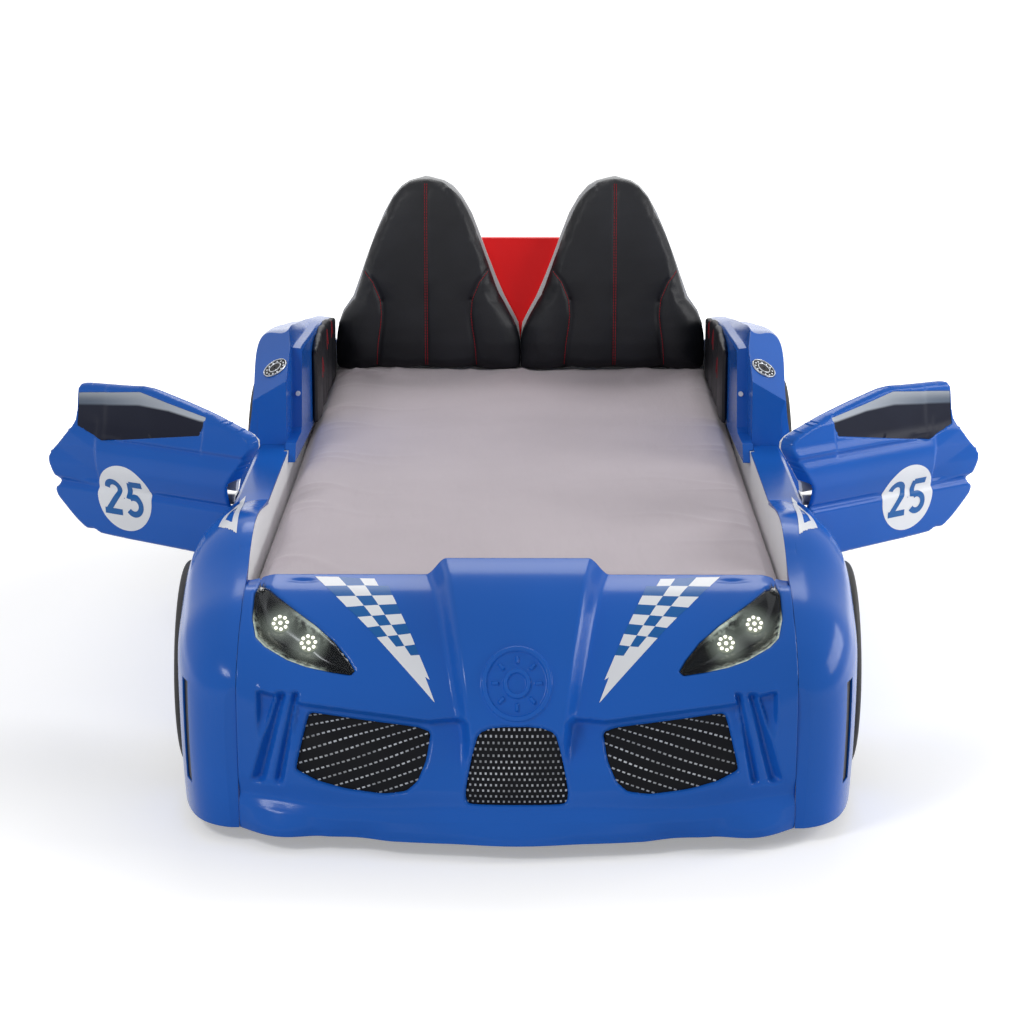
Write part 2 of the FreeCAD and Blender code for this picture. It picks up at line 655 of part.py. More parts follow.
# Outlines on the nose, seen from the front: (across from the middle, above the floor).
HEADLIGHT = ((454, 412), (459, 405), (458, 378), (449, 354), (433, 342), (393, 323), (360, 313),
             (320, 305), (284, 300), (277, 306), (288, 321), (313, 345), (347, 367), (393, 390), (436, 410))
SIDE_GRILLE = ((349, 244), (146, 221), (154, 167), (169, 132), (188, 115), (227, 109), (293, 115),
               (342, 126), (377, 143), (375, 157), (356, 238))
MIDDLE_GRILLE = ((62, 230), (76, 180), (87, 120), (86, 102), (78, 95), (-78, 95), (-86, 102), (-87, 120),
                 (-76, 180), (-62, 230))
LIGHT_PLACES = ((412, 1.92), (358, 2.44))


def nose():
    shell = nose_layer(0, SKIN)
    blank = shell
    grilles = [("left", [(-x, z) for x, z in SIDE_GRILLE]), ("right", list(SIDE_GRILLE)),
               ("middle", list(MIDDLE_GRILLE))]
    gap = size["seat_gap"]
    mesh_layer = nose_layer(SKIN + gap, SKIN + gap + size["grille_thickness"])
    for name, outline in grilles:
        shell = shell.cut(prism_y(outline, -FAR, BONNET_REAR))
        mesh = mesh_layer.common(prism_y(grown(outline, size["grille_lap"]), -FAR, BONNET_REAR))
        feature("grille_mesh_" + name, largest(mesh))
    depth = size["lamp_depth"]
    back = nose_layer(SKIN + gap, depth)
    hollow = nose_layer(SKIN - 1, depth - size["lamp_wall"])
    for name, side in SIDES:
        outline = [(side * x, z) for x, z in HEADLIGHT]
        shell = shell.cut(prism_y(outline, -FAR, BONNET_REAR))
        lens = blank.common(prism_y(grown(outline, -size["lamp_gap"]), -FAR, BONNET_REAR))
        feature("headlight_lens_" + name, largest(lens))
        outer = prism_y(grown(outline, size["lamp_wall"] + 3), -FAR, BONNET_REAR)
        inner = prism_y(outline, -FAR, BONNET_REAR)
        housing = largest(back.common(outer).cut(hollow.common(inner)))
        housing = housing.cut(block(-FAR, FAR, FOOT - size["board"] - 1, FAR, -10, FAR))
        feature("headlight_housing_" + name, largest(housing))
        lights = []
        for x, place in LIGHT_PLACES:
            deep = nose_point(side * x, place, depth - size["lamp_wall"] / 2)
            face = nose_point(side * x, place, 0)
            axis = (face - deep).normalize()
            disc = Part.makeCylinder(size["led_radius"], size["led_height"], deep, axis)
            lights.append(largest(disc.cut(housing)))
        feature("light_modules_" + name, Part.makeCompound(lights))
    feature("front_fascia", largest(shell))
    node(box("light_driver", "{driver_length}", "{driver_height}", "{driver_width}", "-{driver_length} / 2",
             "{head_inner} - {mattress_length} - 2 * {mattress_clearance} - {board} - {driver_height}",
             "{driver_foot}"), "light_driver")


# ---------------------------------------------------------------- wheels

def wheels():
    """Fixed wheels: tyre, rim with a boss to the side board, and a hub cap."""
    front = "({head_inner} - {mattress_length} - 2 * {mattress_clearance} + {front_axle})"
    rear = "({head_inner} - {rear_axle})"
    face = "({mattress_width} / 2 + {side_gap} + {wheel_face})"
    caps = []
    for end, axle, radius in (("front", front, "{front_wheel}"), ("rear", rear, "{rear_wheel}")):
        centre = "{wheel_foot} + " + radius
        rim_radius = "{rim_share} * " + radius
        for name, side in SIDES:
            tag = "%s_%s" % (end, name)
            turn = Rotation(Vector(0, 1, 0), 90 * side)
            near = "%d * (%s - {tyre_width})" % (side, face)
            board = "%d * ({mattress_width} / 2 + {side_gap} + {board})" % side
            tread = rod("tread_" + tag, radius, "{tyre_width}", near, axle, centre)
            bead = rod("bead_" + tag, rim_radius, "{tyre_width}", near, axle, centre)
            for piece in (tread, bead):
                piece.Placement = Placement(piece.Placement.Base, turn)
            tyre = doc.addObject("Part::Cut", "ring_" + tag)
            tyre.Base, tyre.Tool = tread, bead
            doc.recompute()
            rounded = doc.addObject("Part::Fillet", "tyre_" + tag)
            rounded.Base = tyre
            chosen = [k for k, edge in enumerate(tyre.Shape.Edges, start=1)
                      if edge.Length > 6 * size[radius.strip("{}")]]
            rounded.Edges = [(k, size["tyre_round"], size["tyre_round"]) for k in chosen]
            node(rounded, "tyre_" + tag)
            disc = rod("disc_" + tag, rim_radius, "{tyre_width} - 22", near, axle, centre)
            boss = rod("boss_" + tag, "1.4 * {hub_radius}", "{wheel_face} - {tyre_width} - {board}", board,
                       axle, centre)
            holes = []
            for k in range(5):
                hole = rod("window_%s_%d" % (tag, k + 1), "0.2 * " + rim_radius, "{tyre_width}", near,
                           "%s + 0.64 * %s * cos(%d deg)" % (axle, rim_radius, 72 * k + 18),
                           "%s + 0.64 * %s * sin(%d deg)" % (centre, rim_radius, 72 * k + 18))
                holes.append(hole)
            for piece in [disc, boss] + holes:
                piece.Placement = Placement(piece.Placement.Base, turn)
            body = doc.addObject("Part::Fuse", "body_" + tag)
            body.Base, body.Tool = disc, boss
            windows = doc.addObject("Part::Compound", "windows_" + tag)
            windows.Links = holes
            rim = doc.addObject("Part::Cut", "rim_" + tag)
            rim.Base, rim.Tool = body, windows
            node(rim, "rim_" + tag)
            cap = rod("cap_" + tag, "{hub_radius}", "12", "%d * (%s - 22)" % (side, face), axle, centre)
            cap.Placement = Placement(cap.Placement.Base, turn)
            caps.append(cap)
    group("hub_caps", caps)


# ---------------------------------------------------------------- doors

# A door's outline as it is seen from outside: (behind the hinge axis, above the floor).
DOOR_OUTLINE = ((-32, 320), (57, 320), (297, 325), (315, 334), (336, 332), (361, 351), (403, 393),
                (408, 408), (396, 422), (408, 441), (417, 480), (349, 551), (347, 621), (339, 630),
                (229, 635), (188, 638), (158, 636), (75, 618), (12, 602), (-50, 582), (-74, 573), (-87, 562),
                (-88, 546), (-53, 496), (-36, 470), (-32, 446))
WINDOW_OUTLINE = ((341, 547), (341, 612), (184, 630), (110, 615), (18, 598), (34, 561), (275, 524))
# The closed door's skin in section: (out from the door_skin plane, above the floor).
DOOR_SECTION = ((-14, 660), (-8, 620), (-3, 575), (0, 553), (6, 535), (10, 505), (8, 465), (0, 430),
                (-2, 424), (3, 418), (0, 370), (-8, 300))


def door_layer(outer, inner_face, outline):
    """The part of a closed door inside an outline, from a depth under its skin to a flat inner face."""
    skin = DOOR_SKIN
    section = [(skin + x - outer, z) for x, z in DOOR_SECTION]
    points = section + [(inner_face, DOOR_SECTION[-1][1]), (inner_face, DOOR_SECTION[0][1])]
    solid = prism_y(points, HINGE_Y - 200, HINGE_Y + 500)
    return solid.common(prism_x([(HINGE_Y + y, z) for y, z in outline], BOARD_IN, FAR))


def door_placement(side):
    """The open pose: a turn about the hinge axis."""
    angle = size["left_open"] if side == LEFT else -size["right_open"]
    axis = Vector(side * HINGE_X, HINGE_Y, 0)
    turn = Rotation(Vector(0, 0, 1), angle)
    return Placement(axis - turn.multVec(axis), turn)


def doors():
    outline = list(DOOR_OUTLINE)
    window = list(WINDOW_OUTLINE)
    back = DOOR_SKIN - size["door_depth"]
    shell = door_layer(0, back, outline)
    shell = shell.cut(door_layer(SKIN, back - 20, grown(outline, -SKIN)))
    rim = door_layer(0.05, DOOR_SKIN - 16, grown(window, SKIN)).cut(door_layer(-20, back, window))
    shell = shell.fuse(rim)
    shell = shell.cut(prism_x([(HINGE_Y + y, z) for y, z in window], BOARD_IN, FAR))
    recess = size["window_recess"]
    pane = door_layer(recess, 500, grown(window, -size["seat_gap"]))
    pane = pane.cut(door_layer(recess + size["window_thickness"], 400, grown(window, 5)))
    panel_face = back - size["door_panel"]
    panel = prism_x([(HINGE_Y + y, z) for y, z in grown(outline, -5)], panel_face, back)
    free = size["hinge_foot"] + size["hinge_height"] + 8
    hinge_space = door_layer(SKIN, panel_face - 1, [(-60, 305), (12, 305), (12, free), (-60, free)])
    shell = shell.cut(hinge_space)
    panel = panel.cut(hinge_space)
    for name, side in SIDES:
        place = door_placement(side)
        feature("door_shell_" + name, mirrored(largest(shell), side), place)
        feature("door_window_" + name, mirrored(largest(pane), side), place)
        feature("door_panel_" + name, mirrored(panel, side), place)


def hinge_screw_places():
    low = size["hinge_foot"] + 28
    high = size["hinge_foot"] + size["hinge_height"] - 28
    return [(HINGE_Y + y, z) for y in (-24, 24) for z in (low, high)]


def screw_shank(place, radius):
    start = Vector(SILL_WALL - 14, place[0], place[1])
    return Part.makeCylinder(radius, 40, start, Vector(1, 0, 0))


def hinges():
    """A fixed bracket with the pin on the sill's wall, and a leaf with the middle knuckle on the door."""
    wall = SILL_WALL
    leaf = size["leaf_thickness"]
    low, tall, knuckle = size["hinge_foot"], size["hinge_height"], size["knuckle_height"]
    radius = size["knuckle_radius"]
    pin = Part.makeCylinder(size["pin_radius"], tall, Vector(HINGE_X, HINGE_Y, low))
    bracket = block(wall, wall + leaf, HINGE_Y - 32, HINGE_Y + 34, low, low + tall)
    for foot in (low, low + tall - knuckle):
        bracket = bracket.fuse(Part.makeCylinder(radius, knuckle, Vector(HINGE_X, HINGE_Y, foot)))
        bracket = bracket.fuse(block(wall, HINGE_X, HINGE_Y - 6, HINGE_Y + 3, foot, foot + knuckle))
    bracket = bracket.fuse(pin)
    screws = []
    for place in hinge_screw_places():
        bracket = bracket.cut(screw_shank(place, size["screw_radius"] + 0.1))
        shank = Part.makeCylinder(size["screw_radius"], leaf + 14, Vector(wall - 14, *place), Vector(1, 0, 0))
        head = Part.makeCylinder(2 * size["screw_radius"], 2.2, Vector(wall + leaf, *place), Vector(1, 0, 0))
        screws.append(shank.fuse(head))
    gap = size["seam"]
    face = DOOR_SKIN - size["door_depth"] - size["door_panel"]
    foot, height = low + knuckle + gap, tall - 2 * knuckle - 2 * gap
    moving = block(face - leaf, face, HINGE_Y, HINGE_Y + size["leaf_length"], foot, foot + height)
    moving = moving.fuse(block(face - leaf, HINGE_X - 5, HINGE_Y - 4, HINGE_Y + 6, foot, foot + height))
    moving = moving.fuse(Part.makeCylinder(radius, height, Vector(HINGE_X, HINGE_Y, foot)))
    bore = size["pin_radius"] + size["pin_clearance"]
    moving = moving.cut(Part.makeCylinder(bore, tall, Vector(HINGE_X, HINGE_Y, low)))
    every_screw = []
    for name, side in SIDES:
        feature("hinge_bracket_" + name, mirrored(bracket.removeSplitter(), side))
        feature("hinge_leaf_" + name, mirrored(moving.removeSplitter(), side), door_placement(side))
        every_screw += [mirrored(screw, side) for screw in screws]
    feature("hinge_screws", Part.makeCompound(every_screw))


def door_buffers():
    """A soft bump stop on each jamb's inner rim."""
    low, high = WALL_FRONT[-2], WALL_FRONT[-1]
    z = size["buffer_up"]
    share = (z - low[1]) / (high[1] - low[1])
    face = HINGE_Y + low[0] + (high[0] - low[0]) * share
    stop = Part.makeCylinder(size["buffer_radius"], size["buffer_height"] + 8,
                             Vector(BOARD_IN - 7, face - size["buffer_height"], z), Vector(0, 1, 0))
    behind = [(HINGE_Y + low[0], low[1]), (HINGE_Y + high[0], high[1]), (HINGE_Y + high[0] + 200, high[1]),
              (HINGE_Y + high[0] + 200, low[1])]
    stop = stop.cut(prism_x(behind, 0, FAR))
    feature("door_buffers", Part.makeCompound([mirrored(stop, side) for name, side in SIDES]))


# ---------------------------------------------------------------- soft pieces

# Seat back: (above its lower edge, reach outwards and inwards from its seam, depth of the pad,
# bolster seams from the middle seam).
SEAT_BACK = ((0, 216, 225, 46, 118), (20, 218, 226, 56, 117), (59, 219, 226, 60, 114),
             (99, 215, 219, 60, 108), (129, 204, 204, 59, 105), (165, 179, 185, 57, 108),
             (209, 163, 166, 54, 126), (269, 142, 143, 50, 124), (319, 123, 125, 46, 106),
             (369, 101, 106, 41, 86), (409, 79, 83, 35, 66), (434, 58, 62, 29, 48),
             (447, 38, 41, 23, 30), (454, 12, 14, 14, 8))
BOLSTER_TOP = 209
CHANNEL = 7


def seat_section(level, outwards, inwards, depth, seam, back):
    """A level section of a seat pad: a flat back and four crowned panels between the seams."""
    z = size["seat_foot"] + level
    side_depth = depth * 0.55
    channel = CHANNEL if level < BOLSTER_TOP else 1.5
    front = back - depth
    stops = [(outwards, back - side_depth), (seam, front + channel), (0, front + channel * 0.6),
             (-seam, front + channel), (-inwards, back - side_depth)]
    crowns = [(outwards * 0.55 + seam * 0.45, front + 1), (seam / 2, front), (-seam / 2, front),
              (-inwards * 0.55 - seam * 0.45, front + 1)]
    corners = [(-inwards, back - side_depth), (-inwards, back), (outwards, back),
               (outwards, back - side_depth)]
    edges = Part.makePolygon([Vector(x, y, z) for x, y in corners]).Edges
    for start, crown, end in zip(stops, crowns, stops[1:]):
        arc = Part.Arc(Vector(start[0], start[1], z), Vector(crown[0], crown[1], z),
                       Vector(end[0], end[1], z))
        edges.append(arc.toShape())
    return Part.Wire(edges)


def seat_backs():
    back = HEAD - size["seat_board"]
    wires = [seat_section(*station, back - 0.3) for station in SEAT_BACK]
    pad = Part.makeLoft(wires, True, True)
    border = size["seat_border"]
    foot = size["seat_foot"]
    outer = [(outwards + border / 4, foot + level) for level, outwards, inwards, depth, seam in SEAT_BACK]
    inner = [(-inwards - border, foot + level) for level, outwards, inwards, depth, seam in SEAT_BACK]
    inner[0], inner[1], inner[2] = [(-size["seat_middle"] + 0.5, z) for x, z in inner[:3]]
    board = prism_y(outer + [(0, outer[-1][1] + border)] + inner[::-1], back, HEAD)
    for name, side in SIDES:
        place = Placement(Vector(side * size["seat_middle"], 0, 0), Rotation())
        feature("seat_pad_" + name, mirrored(pad, side), place)
        feature("seat_board_" + name, mirrored(board, side), place)


# Side pad's top edge: (share of its length, above its lower edge).
SIDE_PAD_TOP = ((0, 166), (0.05, 174), (0.16, 180), (0.28, 182), (0.38, 178), (0.53, 172), (0.67, 164),
                (0.83, 151), (1, 132))


def side_pads():
    """Upright quilted pads on the rear fenders' inner walls: crowned channels, a rounded top."""
    outer = BOARD_IN - size["inner_wall"] - size["seat_gap"]
    length, channels = size["side_pad_length"], int(size["side_pad_channels"])
    start = HEAD - size["side_pad_front"]
    foot = size["side_pad_foot"]
    wires = []
    steps = 6 * channels
    for k in range(steps + 1):
        share = k / steps
        crown = math.sin(math.pi * (share * channels % 1)) if 0 < k < steps else 0
        thick = size["side_pad_thickness"] * (0.62 + 0.38 * crown ** 0.6)
        top = foot + along(SIDE_PAD_TOP, share)[0] + 5 * crown
        y = start + length * share
        inner = outer - thick
        edges = Part.makePolygon([Vector(inner, y, top - 9), Vector(inner, y, foot), Vector(outer, y, foot),
                                  Vector(outer, y, top - 5)]).Edges
        arc = Part.Arc(Vector(outer, y, top - 5), Vector(outer - thick * 0.45, y, top),
                       Vector(inner, y, top - 9))
        wires.append(Part.Wire(edges + [arc.toShape()]))
    pad = Part.makeLoft(wires, True, True)
    for name, side in SIDES:
        feature("side_pad_" + name, mirrored(pad, side))


# ---------------------------------------------------------------- the bed

frame_of_boards()
mattress()
nose()
front_fenders()
sills()
rear_fenders()
wheels()
doors()
hinges()
door_buffers()
seat_backs()
side_pads()

doc.recompute()
for piece in doc.Objects:
    if "Invalid" in piece.State or "Error" in piece.State:
        raise SystemExit("%s failed: %s" % (piece.Label, piece.State))
for piece in nodes:
    if piece.Shape.isNull() or not piece.Shape.isValid() or not piece.Shape.Solids:
        raise SystemExit("%s has no valid solid" % piece.Label)

os.makedirs("parts", exist_ok=True)
for piece in nodes:
    piece.Shape.exportStep("parts/%s.step" % piece.Label)
    print("%-26s %2d solid(s) %10.1f cm3" % (piece.Label, len(piece.Shape.Solids), piece.Shape.Volume / 1000))
print(len(nodes), "nodes")
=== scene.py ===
"""Children's race-car bed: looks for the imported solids, in metres, in the solids' own frame.

+X is to the right seen from the nose, +Y runs from the nose to the head end, +Z is up.
Outlines and profiles are in millimetres, and become metres when a piece is made.
"""
import json
import math

import bmesh
import bpy
import numpy as np
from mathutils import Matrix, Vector
from mathutils.bvhtree import BVHTree

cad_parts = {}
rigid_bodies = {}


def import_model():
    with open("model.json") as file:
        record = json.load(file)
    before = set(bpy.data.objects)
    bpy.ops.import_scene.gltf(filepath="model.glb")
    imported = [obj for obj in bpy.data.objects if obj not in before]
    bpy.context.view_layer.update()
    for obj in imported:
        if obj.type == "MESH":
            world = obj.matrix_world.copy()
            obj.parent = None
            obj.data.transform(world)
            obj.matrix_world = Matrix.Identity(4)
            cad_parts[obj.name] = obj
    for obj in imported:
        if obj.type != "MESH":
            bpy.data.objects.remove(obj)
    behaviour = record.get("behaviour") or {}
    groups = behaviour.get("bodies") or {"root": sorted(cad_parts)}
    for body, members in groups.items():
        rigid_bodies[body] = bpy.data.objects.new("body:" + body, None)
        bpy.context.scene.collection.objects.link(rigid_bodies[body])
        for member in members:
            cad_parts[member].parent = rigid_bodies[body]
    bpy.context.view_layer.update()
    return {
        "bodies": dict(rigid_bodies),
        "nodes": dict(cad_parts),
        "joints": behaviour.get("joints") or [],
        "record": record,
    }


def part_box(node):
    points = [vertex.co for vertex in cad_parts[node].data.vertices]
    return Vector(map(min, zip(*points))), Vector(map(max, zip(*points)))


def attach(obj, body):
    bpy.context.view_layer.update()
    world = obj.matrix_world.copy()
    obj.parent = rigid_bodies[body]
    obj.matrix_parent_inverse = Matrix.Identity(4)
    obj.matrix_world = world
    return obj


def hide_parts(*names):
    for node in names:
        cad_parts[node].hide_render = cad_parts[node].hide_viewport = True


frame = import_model()
NODES = frame["nodes"]
BED = "bed_frame"
SIDES = (("left", -1), ("right", 1))
MM = 0.001
rng = np.random.default_rng(25)


# ---- shader maths

def maths(operation):
    """A method that feeds a value, and any others, to a Math node."""
    return lambda self, *others: self.nodes.node("ShaderNodeMath", {"operation": operation}, self, *others)


class Value:
    """A shader socket whose operators add Math nodes."""

    def __init__(self, nodes, socket):
        self.nodes, self.socket = nodes, socket

    __add__ = __radd__ = maths("ADD")
    __sub__ = maths("SUBTRACT")
    __mul__ = __rmul__ = maths("MULTIPLY")
    __truediv__ = maths("DIVIDE")
    __mod__ = maths("FLOORED_MODULO")
    __pow__ = maths("POWER")
    __abs__ = maths("ABSOLUTE")
    least = maths("MINIMUM")
    most = maths("MAXIMUM")
    sine = maths("SINE")
    floor = maths("FLOOR")

    def __rsub__(self, other):
        return self.nodes.node("ShaderNodeMath", {"operation": "SUBTRACT"}, other, self)

    def ramp(self, low, high):
        """0 below low, 1 above high, a smooth step between them."""
        return self.nodes.node("ShaderNodeMapRange", {"interpolation_type": "SMOOTHSTEP"}, self, low, high)


class Nodes:
    """A node tree."""

    def __init__(self, tree):
        self.tree = tree

    def plug(self, socket, value):
        if isinstance(value, Value):
            self.tree.links.new(value.socket, socket)
        elif socket.type == "RGBA" and len(value) == 3:
            socket.default_value = (*value, 1)
        else:
            socket.default_value = value

    def node(self, kind, settings=None, *inputs, output=0, **named):
        """A node of a type, its settings first, then its inputs in order or by name."""
        made = self.tree.nodes.new(kind)
        for key, value in (settings or {}).items():
            setattr(made, key, value)
        plugs = list(zip(made.inputs, inputs))
        plugs += [(made.inputs[key.replace("_", " ")], value) for key, value in named.items()]
        for socket, value in plugs:
            if value is not None:
                self.plug(socket, value)
        return Value(self, made.outputs[output])

    def background_rays(self):
        """1 for the rays that show the background: camera, glossy and transmission rays."""
        path = self.tree.nodes.new("ShaderNodeLightPath")
        camera, glossy, transmission = (Value(self, path.outputs["Is %s Ray" % kind])
                                        for kind in ("Camera", "Glossy", "Transmission"))
        return camera.most(glossy).most(transmission)


class Finish(Nodes):
    """A material around one Principled shader; point is the piece's own Object coordinates."""

    def __init__(self, name):
        self.material = bpy.data.materials.new(name)
        self.material.use_nodes = True
        super().__init__(self.material.node_tree)
        self.shader = self.tree.nodes["Principled BSDF"]
        self.point = self.node("ShaderNodeTexCoord", output=3)

    def split(self, point):
        """A point's three coordinates."""
        parts = self.tree.nodes.new("ShaderNodeSeparateXYZ")
        self.plug(parts.inputs[0], point)
        return [Value(self, socket) for socket in parts.outputs]

    def surface_map(self, name):
        """The two coordinates of a UV map."""
        return self.split(self.node("ShaderNodeUVMap", {"uv_map": name}))[:2]

    def noise(self, scale, detail=2.0, rough=0.5, point=None):
        return self.node("ShaderNodeTexNoise", None, Vector=point or self.point, Scale=scale, Detail=detail,
                         Roughness=rough)

    def stretched(self, *scale):
        """The point with its coordinates scaled apart, for a grain."""
        return self.node("ShaderNodeMapping", None, Vector=self.point, Scale=scale)

    def blend(self, share, first, second):
        """A colour between two colours: the Mix node's inputs 6 and 7."""
        return self.node("ShaderNodeMix", {"data_type": "RGBA"}, share, *[None] * 5, first, second, output=2)

    def bump(self, height, strength, distance, normal=None):
        return self.node("ShaderNodeBump", None, Strength=strength, Distance=distance, Height=height,
                         Normal=normal)

    def set(self, **values):
        for key, value in values.items():
            self.plug(self.shader.inputs[key.replace("_", " ")], value)
        return self.material


def badge_metal():
    finish = Finish("badge_metal")
    return finish.set(Base_Color=(0.50, 0.52, 0.55), Metallic=1.0, Roughness=0.3 + 0.1 * finish.noise(300.0))


def moulded(name, rounding=None):
    """Moulded gloss plastic: faint colour drift, orange peel and edges rounded by a radius."""
    finish = Finish(name)
    blue = (0.0100, 0.115, 0.515)
    darker = tuple(c * 0.90 for c in blue)
    edges = finish.node("ShaderNodeBevel", {"samples": 4}, Radius=rounding) if rounding else None
    normal = finish.bump(finish.noise(160.0, 1.0), 0.05, 0.0006, edges)
    return finish.set(Base_Color=finish.blend(finish.noise(3.0).ramp(0.3, 0.7), darker, blue),
                      Roughness=0.17 + 0.05 * finish.noise(12.0), Coat_Weight=0.07, Coat_Roughness=0.06,
                      Specular_IOR_Level=0.13, Normal=normal)


def satin(name, colour, roughness, grain=900.0, strength=0.12, metallic=0.0):
    """Satin plastic, paint or laminate with a fine grain."""
    finish = Finish(name)
    fine = finish.noise(grain, 1.0)
    lighter = tuple(min(1.0, c * 1.06 + 0.004) for c in colour)
    return finish.set(Base_Color=finish.blend(finish.noise(5.0).ramp(0.3, 0.7), colour, lighter),
                      Roughness=roughness + 0.08 * fine, Specular_IOR_Level=0.25, Metallic=metallic,
                      Normal=finish.bump(fine, strength, 0.0004))


def planed_timber():
    finish = Finish("planed_timber")
    rings = finish.noise(1.2, 4.0, point=finish.stretched(3.0, 60.0, 60.0))
    colour = finish.blend(rings.ramp(0.35, 0.65), (0.62, 0.44, 0.25), (0.72, 0.56, 0.36))
    return finish.set(Base_Color=colour, Roughness=0.55 + 0.1 * rings, Normal=finish.bump(rings, 0.2, 0.0005))


def woven_sheet():
    """Fine plain weave: crossed waves 0.9 mm apart, soft colour drift and creases."""
    finish = Finish("woven_sheet")
    x, y, z = finish.split(finish.point)
    weave = (x * 7000.0).sine() * (y * 7000.0).sine()
    drift = finish.noise(4.0, 3.0)
    crease = finish.noise(1.4, 3.0, 0.55, finish.stretched(14.0, 3.0, 3.0))
    colour = finish.blend(drift.ramp(0.25, 0.75), (0.475, 0.415, 0.452), (0.515, 0.452, 0.49))
    normal = finish.bump(weave, 0.12, 0.0003, finish.bump(crease, 0.55, 0.007))
    return finish.set(Base_Color=colour, Roughness=0.86 + 0.06 * drift, Sheen_Weight=0.25,
                      Sheen_Roughness=0.4, Normal=normal)


def leather():
    """Grained imitation leather: cells about 1.6 mm across over soft creases."""
    finish = Finish("black_leather")
    colour = (0.0040, 0.0045, 0.0070)
    cells = finish.node("ShaderNodeTexVoronoi", {"feature": "DISTANCE_TO_EDGE"},
                        Vector=finish.point, Scale=620.0)
    crease = finish.noise(26.0, 4.0, 0.6)
    worn = tuple(c * 1.7 + 0.004 for c in colour)
    normal = finish.bump(cells.least(0.12), 0.35, 0.0006, finish.bump(crease, 0.22, 0.0035))
    return finish.set(Base_Color=finish.blend(finish.noise(6.0).ramp(0.3, 0.8), colour, worn),
                      Roughness=0.40 + 0.14 * crease, Specular_IOR_Level=0.32, Normal=normal)


def tyre_rubber():
    """Moulded rubber: square blocks and a fine grain."""
    finish = Finish("tyre_black")
    fine = finish.noise(300.0)
    blocks = finish.node("ShaderNodeTexVoronoi", {"distance": "CHEBYCHEV"}, Vector=finish.point, Scale=38.0)
    colour = finish.blend(fine.ramp(0.3, 0.7), (0.012, 0.012, 0.013), (0.022, 0.022, 0.024))
    normal = finish.bump(blocks, 0.25, 0.002)
    return finish.set(Base_Color=colour, Roughness=0.55 + 0.15 * fine, Normal=normal)


def perforated(name, pitch_across, pitch_up, dash, thick):
    """Black mesh with rows of small pale dashes: dashes repeat along u, each row shifts by half a pitch."""
    finish = Finish(name)
    u, v = finish.surface_map("mesh")
    shift = ((v / pitch_up).floor() % 2.0) * (pitch_across * 0.5)
    along_row = ((u + shift) % pitch_across) - pitch_across / 2
    across_row = (v % pitch_up) - pitch_up / 2
    ends = 1 - abs(along_row).ramp(dash * 0.42, dash * 0.56)
    sides = 1 - abs(across_row).ramp(thick * 0.4, thick * 0.6)
    worn = finish.noise(24.0, 1.0).ramp(0.25, 0.8)
    mark = ends * sides * (0.35 + 0.65 * worn)
    colour = finish.blend(mark, (0.0035, 0.004, 0.006), (0.62, 0.65, 0.69))
    return finish.set(Base_Color=colour, Roughness=0.5 + 0.1 * worn, Specular_IOR_Level=0.12,
                      Normal=finish.bump(mark, 0.4, 0.0012))


def tinted_window():
    """Dark tinted sheet with a silver band printed along its upper edge, on the door's own map."""
    finish = Finish("window_tint")
    u, v = finish.surface_map("door")
    silver = finish.blend(u.ramp(0.02, 0.34), (0.50, 0.54, 0.60), (0.12, 0.15, 0.20))
    silver = finish.blend(v.ramp(0.004, 0.036), silver, (0.50, 0.53, 0.58))
    glassy = finish.blend(finish.noise(5.0).ramp(0.3, 0.7), (0.011, 0.013, 0.026), (0.017, 0.020, 0.036))
    return finish.set(Base_Color=finish.blend(v.ramp(-0.003, 0.003), glassy, silver),
                      Roughness=0.28 + 0.05 * finish.noise(9.0), Specular_IOR_Level=0.10)


def glow(name, colour, strength):
    finish = Finish(name)
    return finish.set(Base_Color=(0.06, 0.06, 0.05), Emission_Color=colour, Emission_Strength=strength,
                      Roughness=0.4 + 0.1 * finish.noise(200.0))


def clear_lens():
    """Clear plastic: mostly see-through, with a gloss that grows at grazing angles."""
    finish = Finish("clear_lens")
    clear = finish.node("ShaderNodeBsdfTransparent", None, (0.93, 0.95, 0.97, 1))
    gloss = Value(finish, finish.shader.outputs[0])
    share = (0.05 + 0.9 * finish.node("ShaderNodeFresnel", None, 1.45)).least(1.0)
    finish.plug(finish.tree.nodes["Material Output"].inputs[0],
                finish.node("ShaderNodeMixShader", None, share, clear, gloss))
    return finish.set(Base_Color=(0.05, 0.055, 0.06), Coat_Weight=0.3,
                      Roughness=0.06 + 0.02 * finish.noise(40.0))


def lit_housing(name, centres):
    """Dark housing with its lamps' light painted on as emission: a painted glow that falls off round each
    centre, and a painted highlight line where the map's first coordinate, the distance to the lamp's edge, is
    small, with painted glints beside it."""
    finish = Finish(name)
    x, y, z = finish.split(finish.point)
    # painted glow: emitted light that falls off round each lamp's centre, standing in for the lamps' light on
    # the housing
    light = 0.0
    for cx, cy, cz in centres:
        gap = ((x - cx) * (x - cx) + (y - cy) * (y - cy) + (z - cz) * (z - cz)) ** 0.5
        light = light + (1 - gap.ramp(0.004, 0.046)) * 0.34
    edge, highlight_share = finish.surface_map("lamp")
    # painted highlight along the lamp's edge, and painted glints in blotches beside it, where the map's
    # second coordinate allows them
    rim = (1 - edge.ramp(0.0015, 0.0045)) * highlight_share
    painted_glint = (1 - edge.ramp(0.004, 0.014)) * highlight_share * finish.noise(90.0, 3.0).ramp(0.42, 0.62)
    level = (light + rim * 0.6 + painted_glint * 0.35).least(1.0)
    return finish.set(Base_Color=(0.010, 0.011, 0.013), Roughness=0.22 + 0.05 * finish.noise(60.0),
                      Emission_Color=finish.blend(level, (0.0, 0.0, 0.0), (0.56, 0.64, 0.54)),
                      Emission_Strength=1.0, Coat_Weight=0.1)


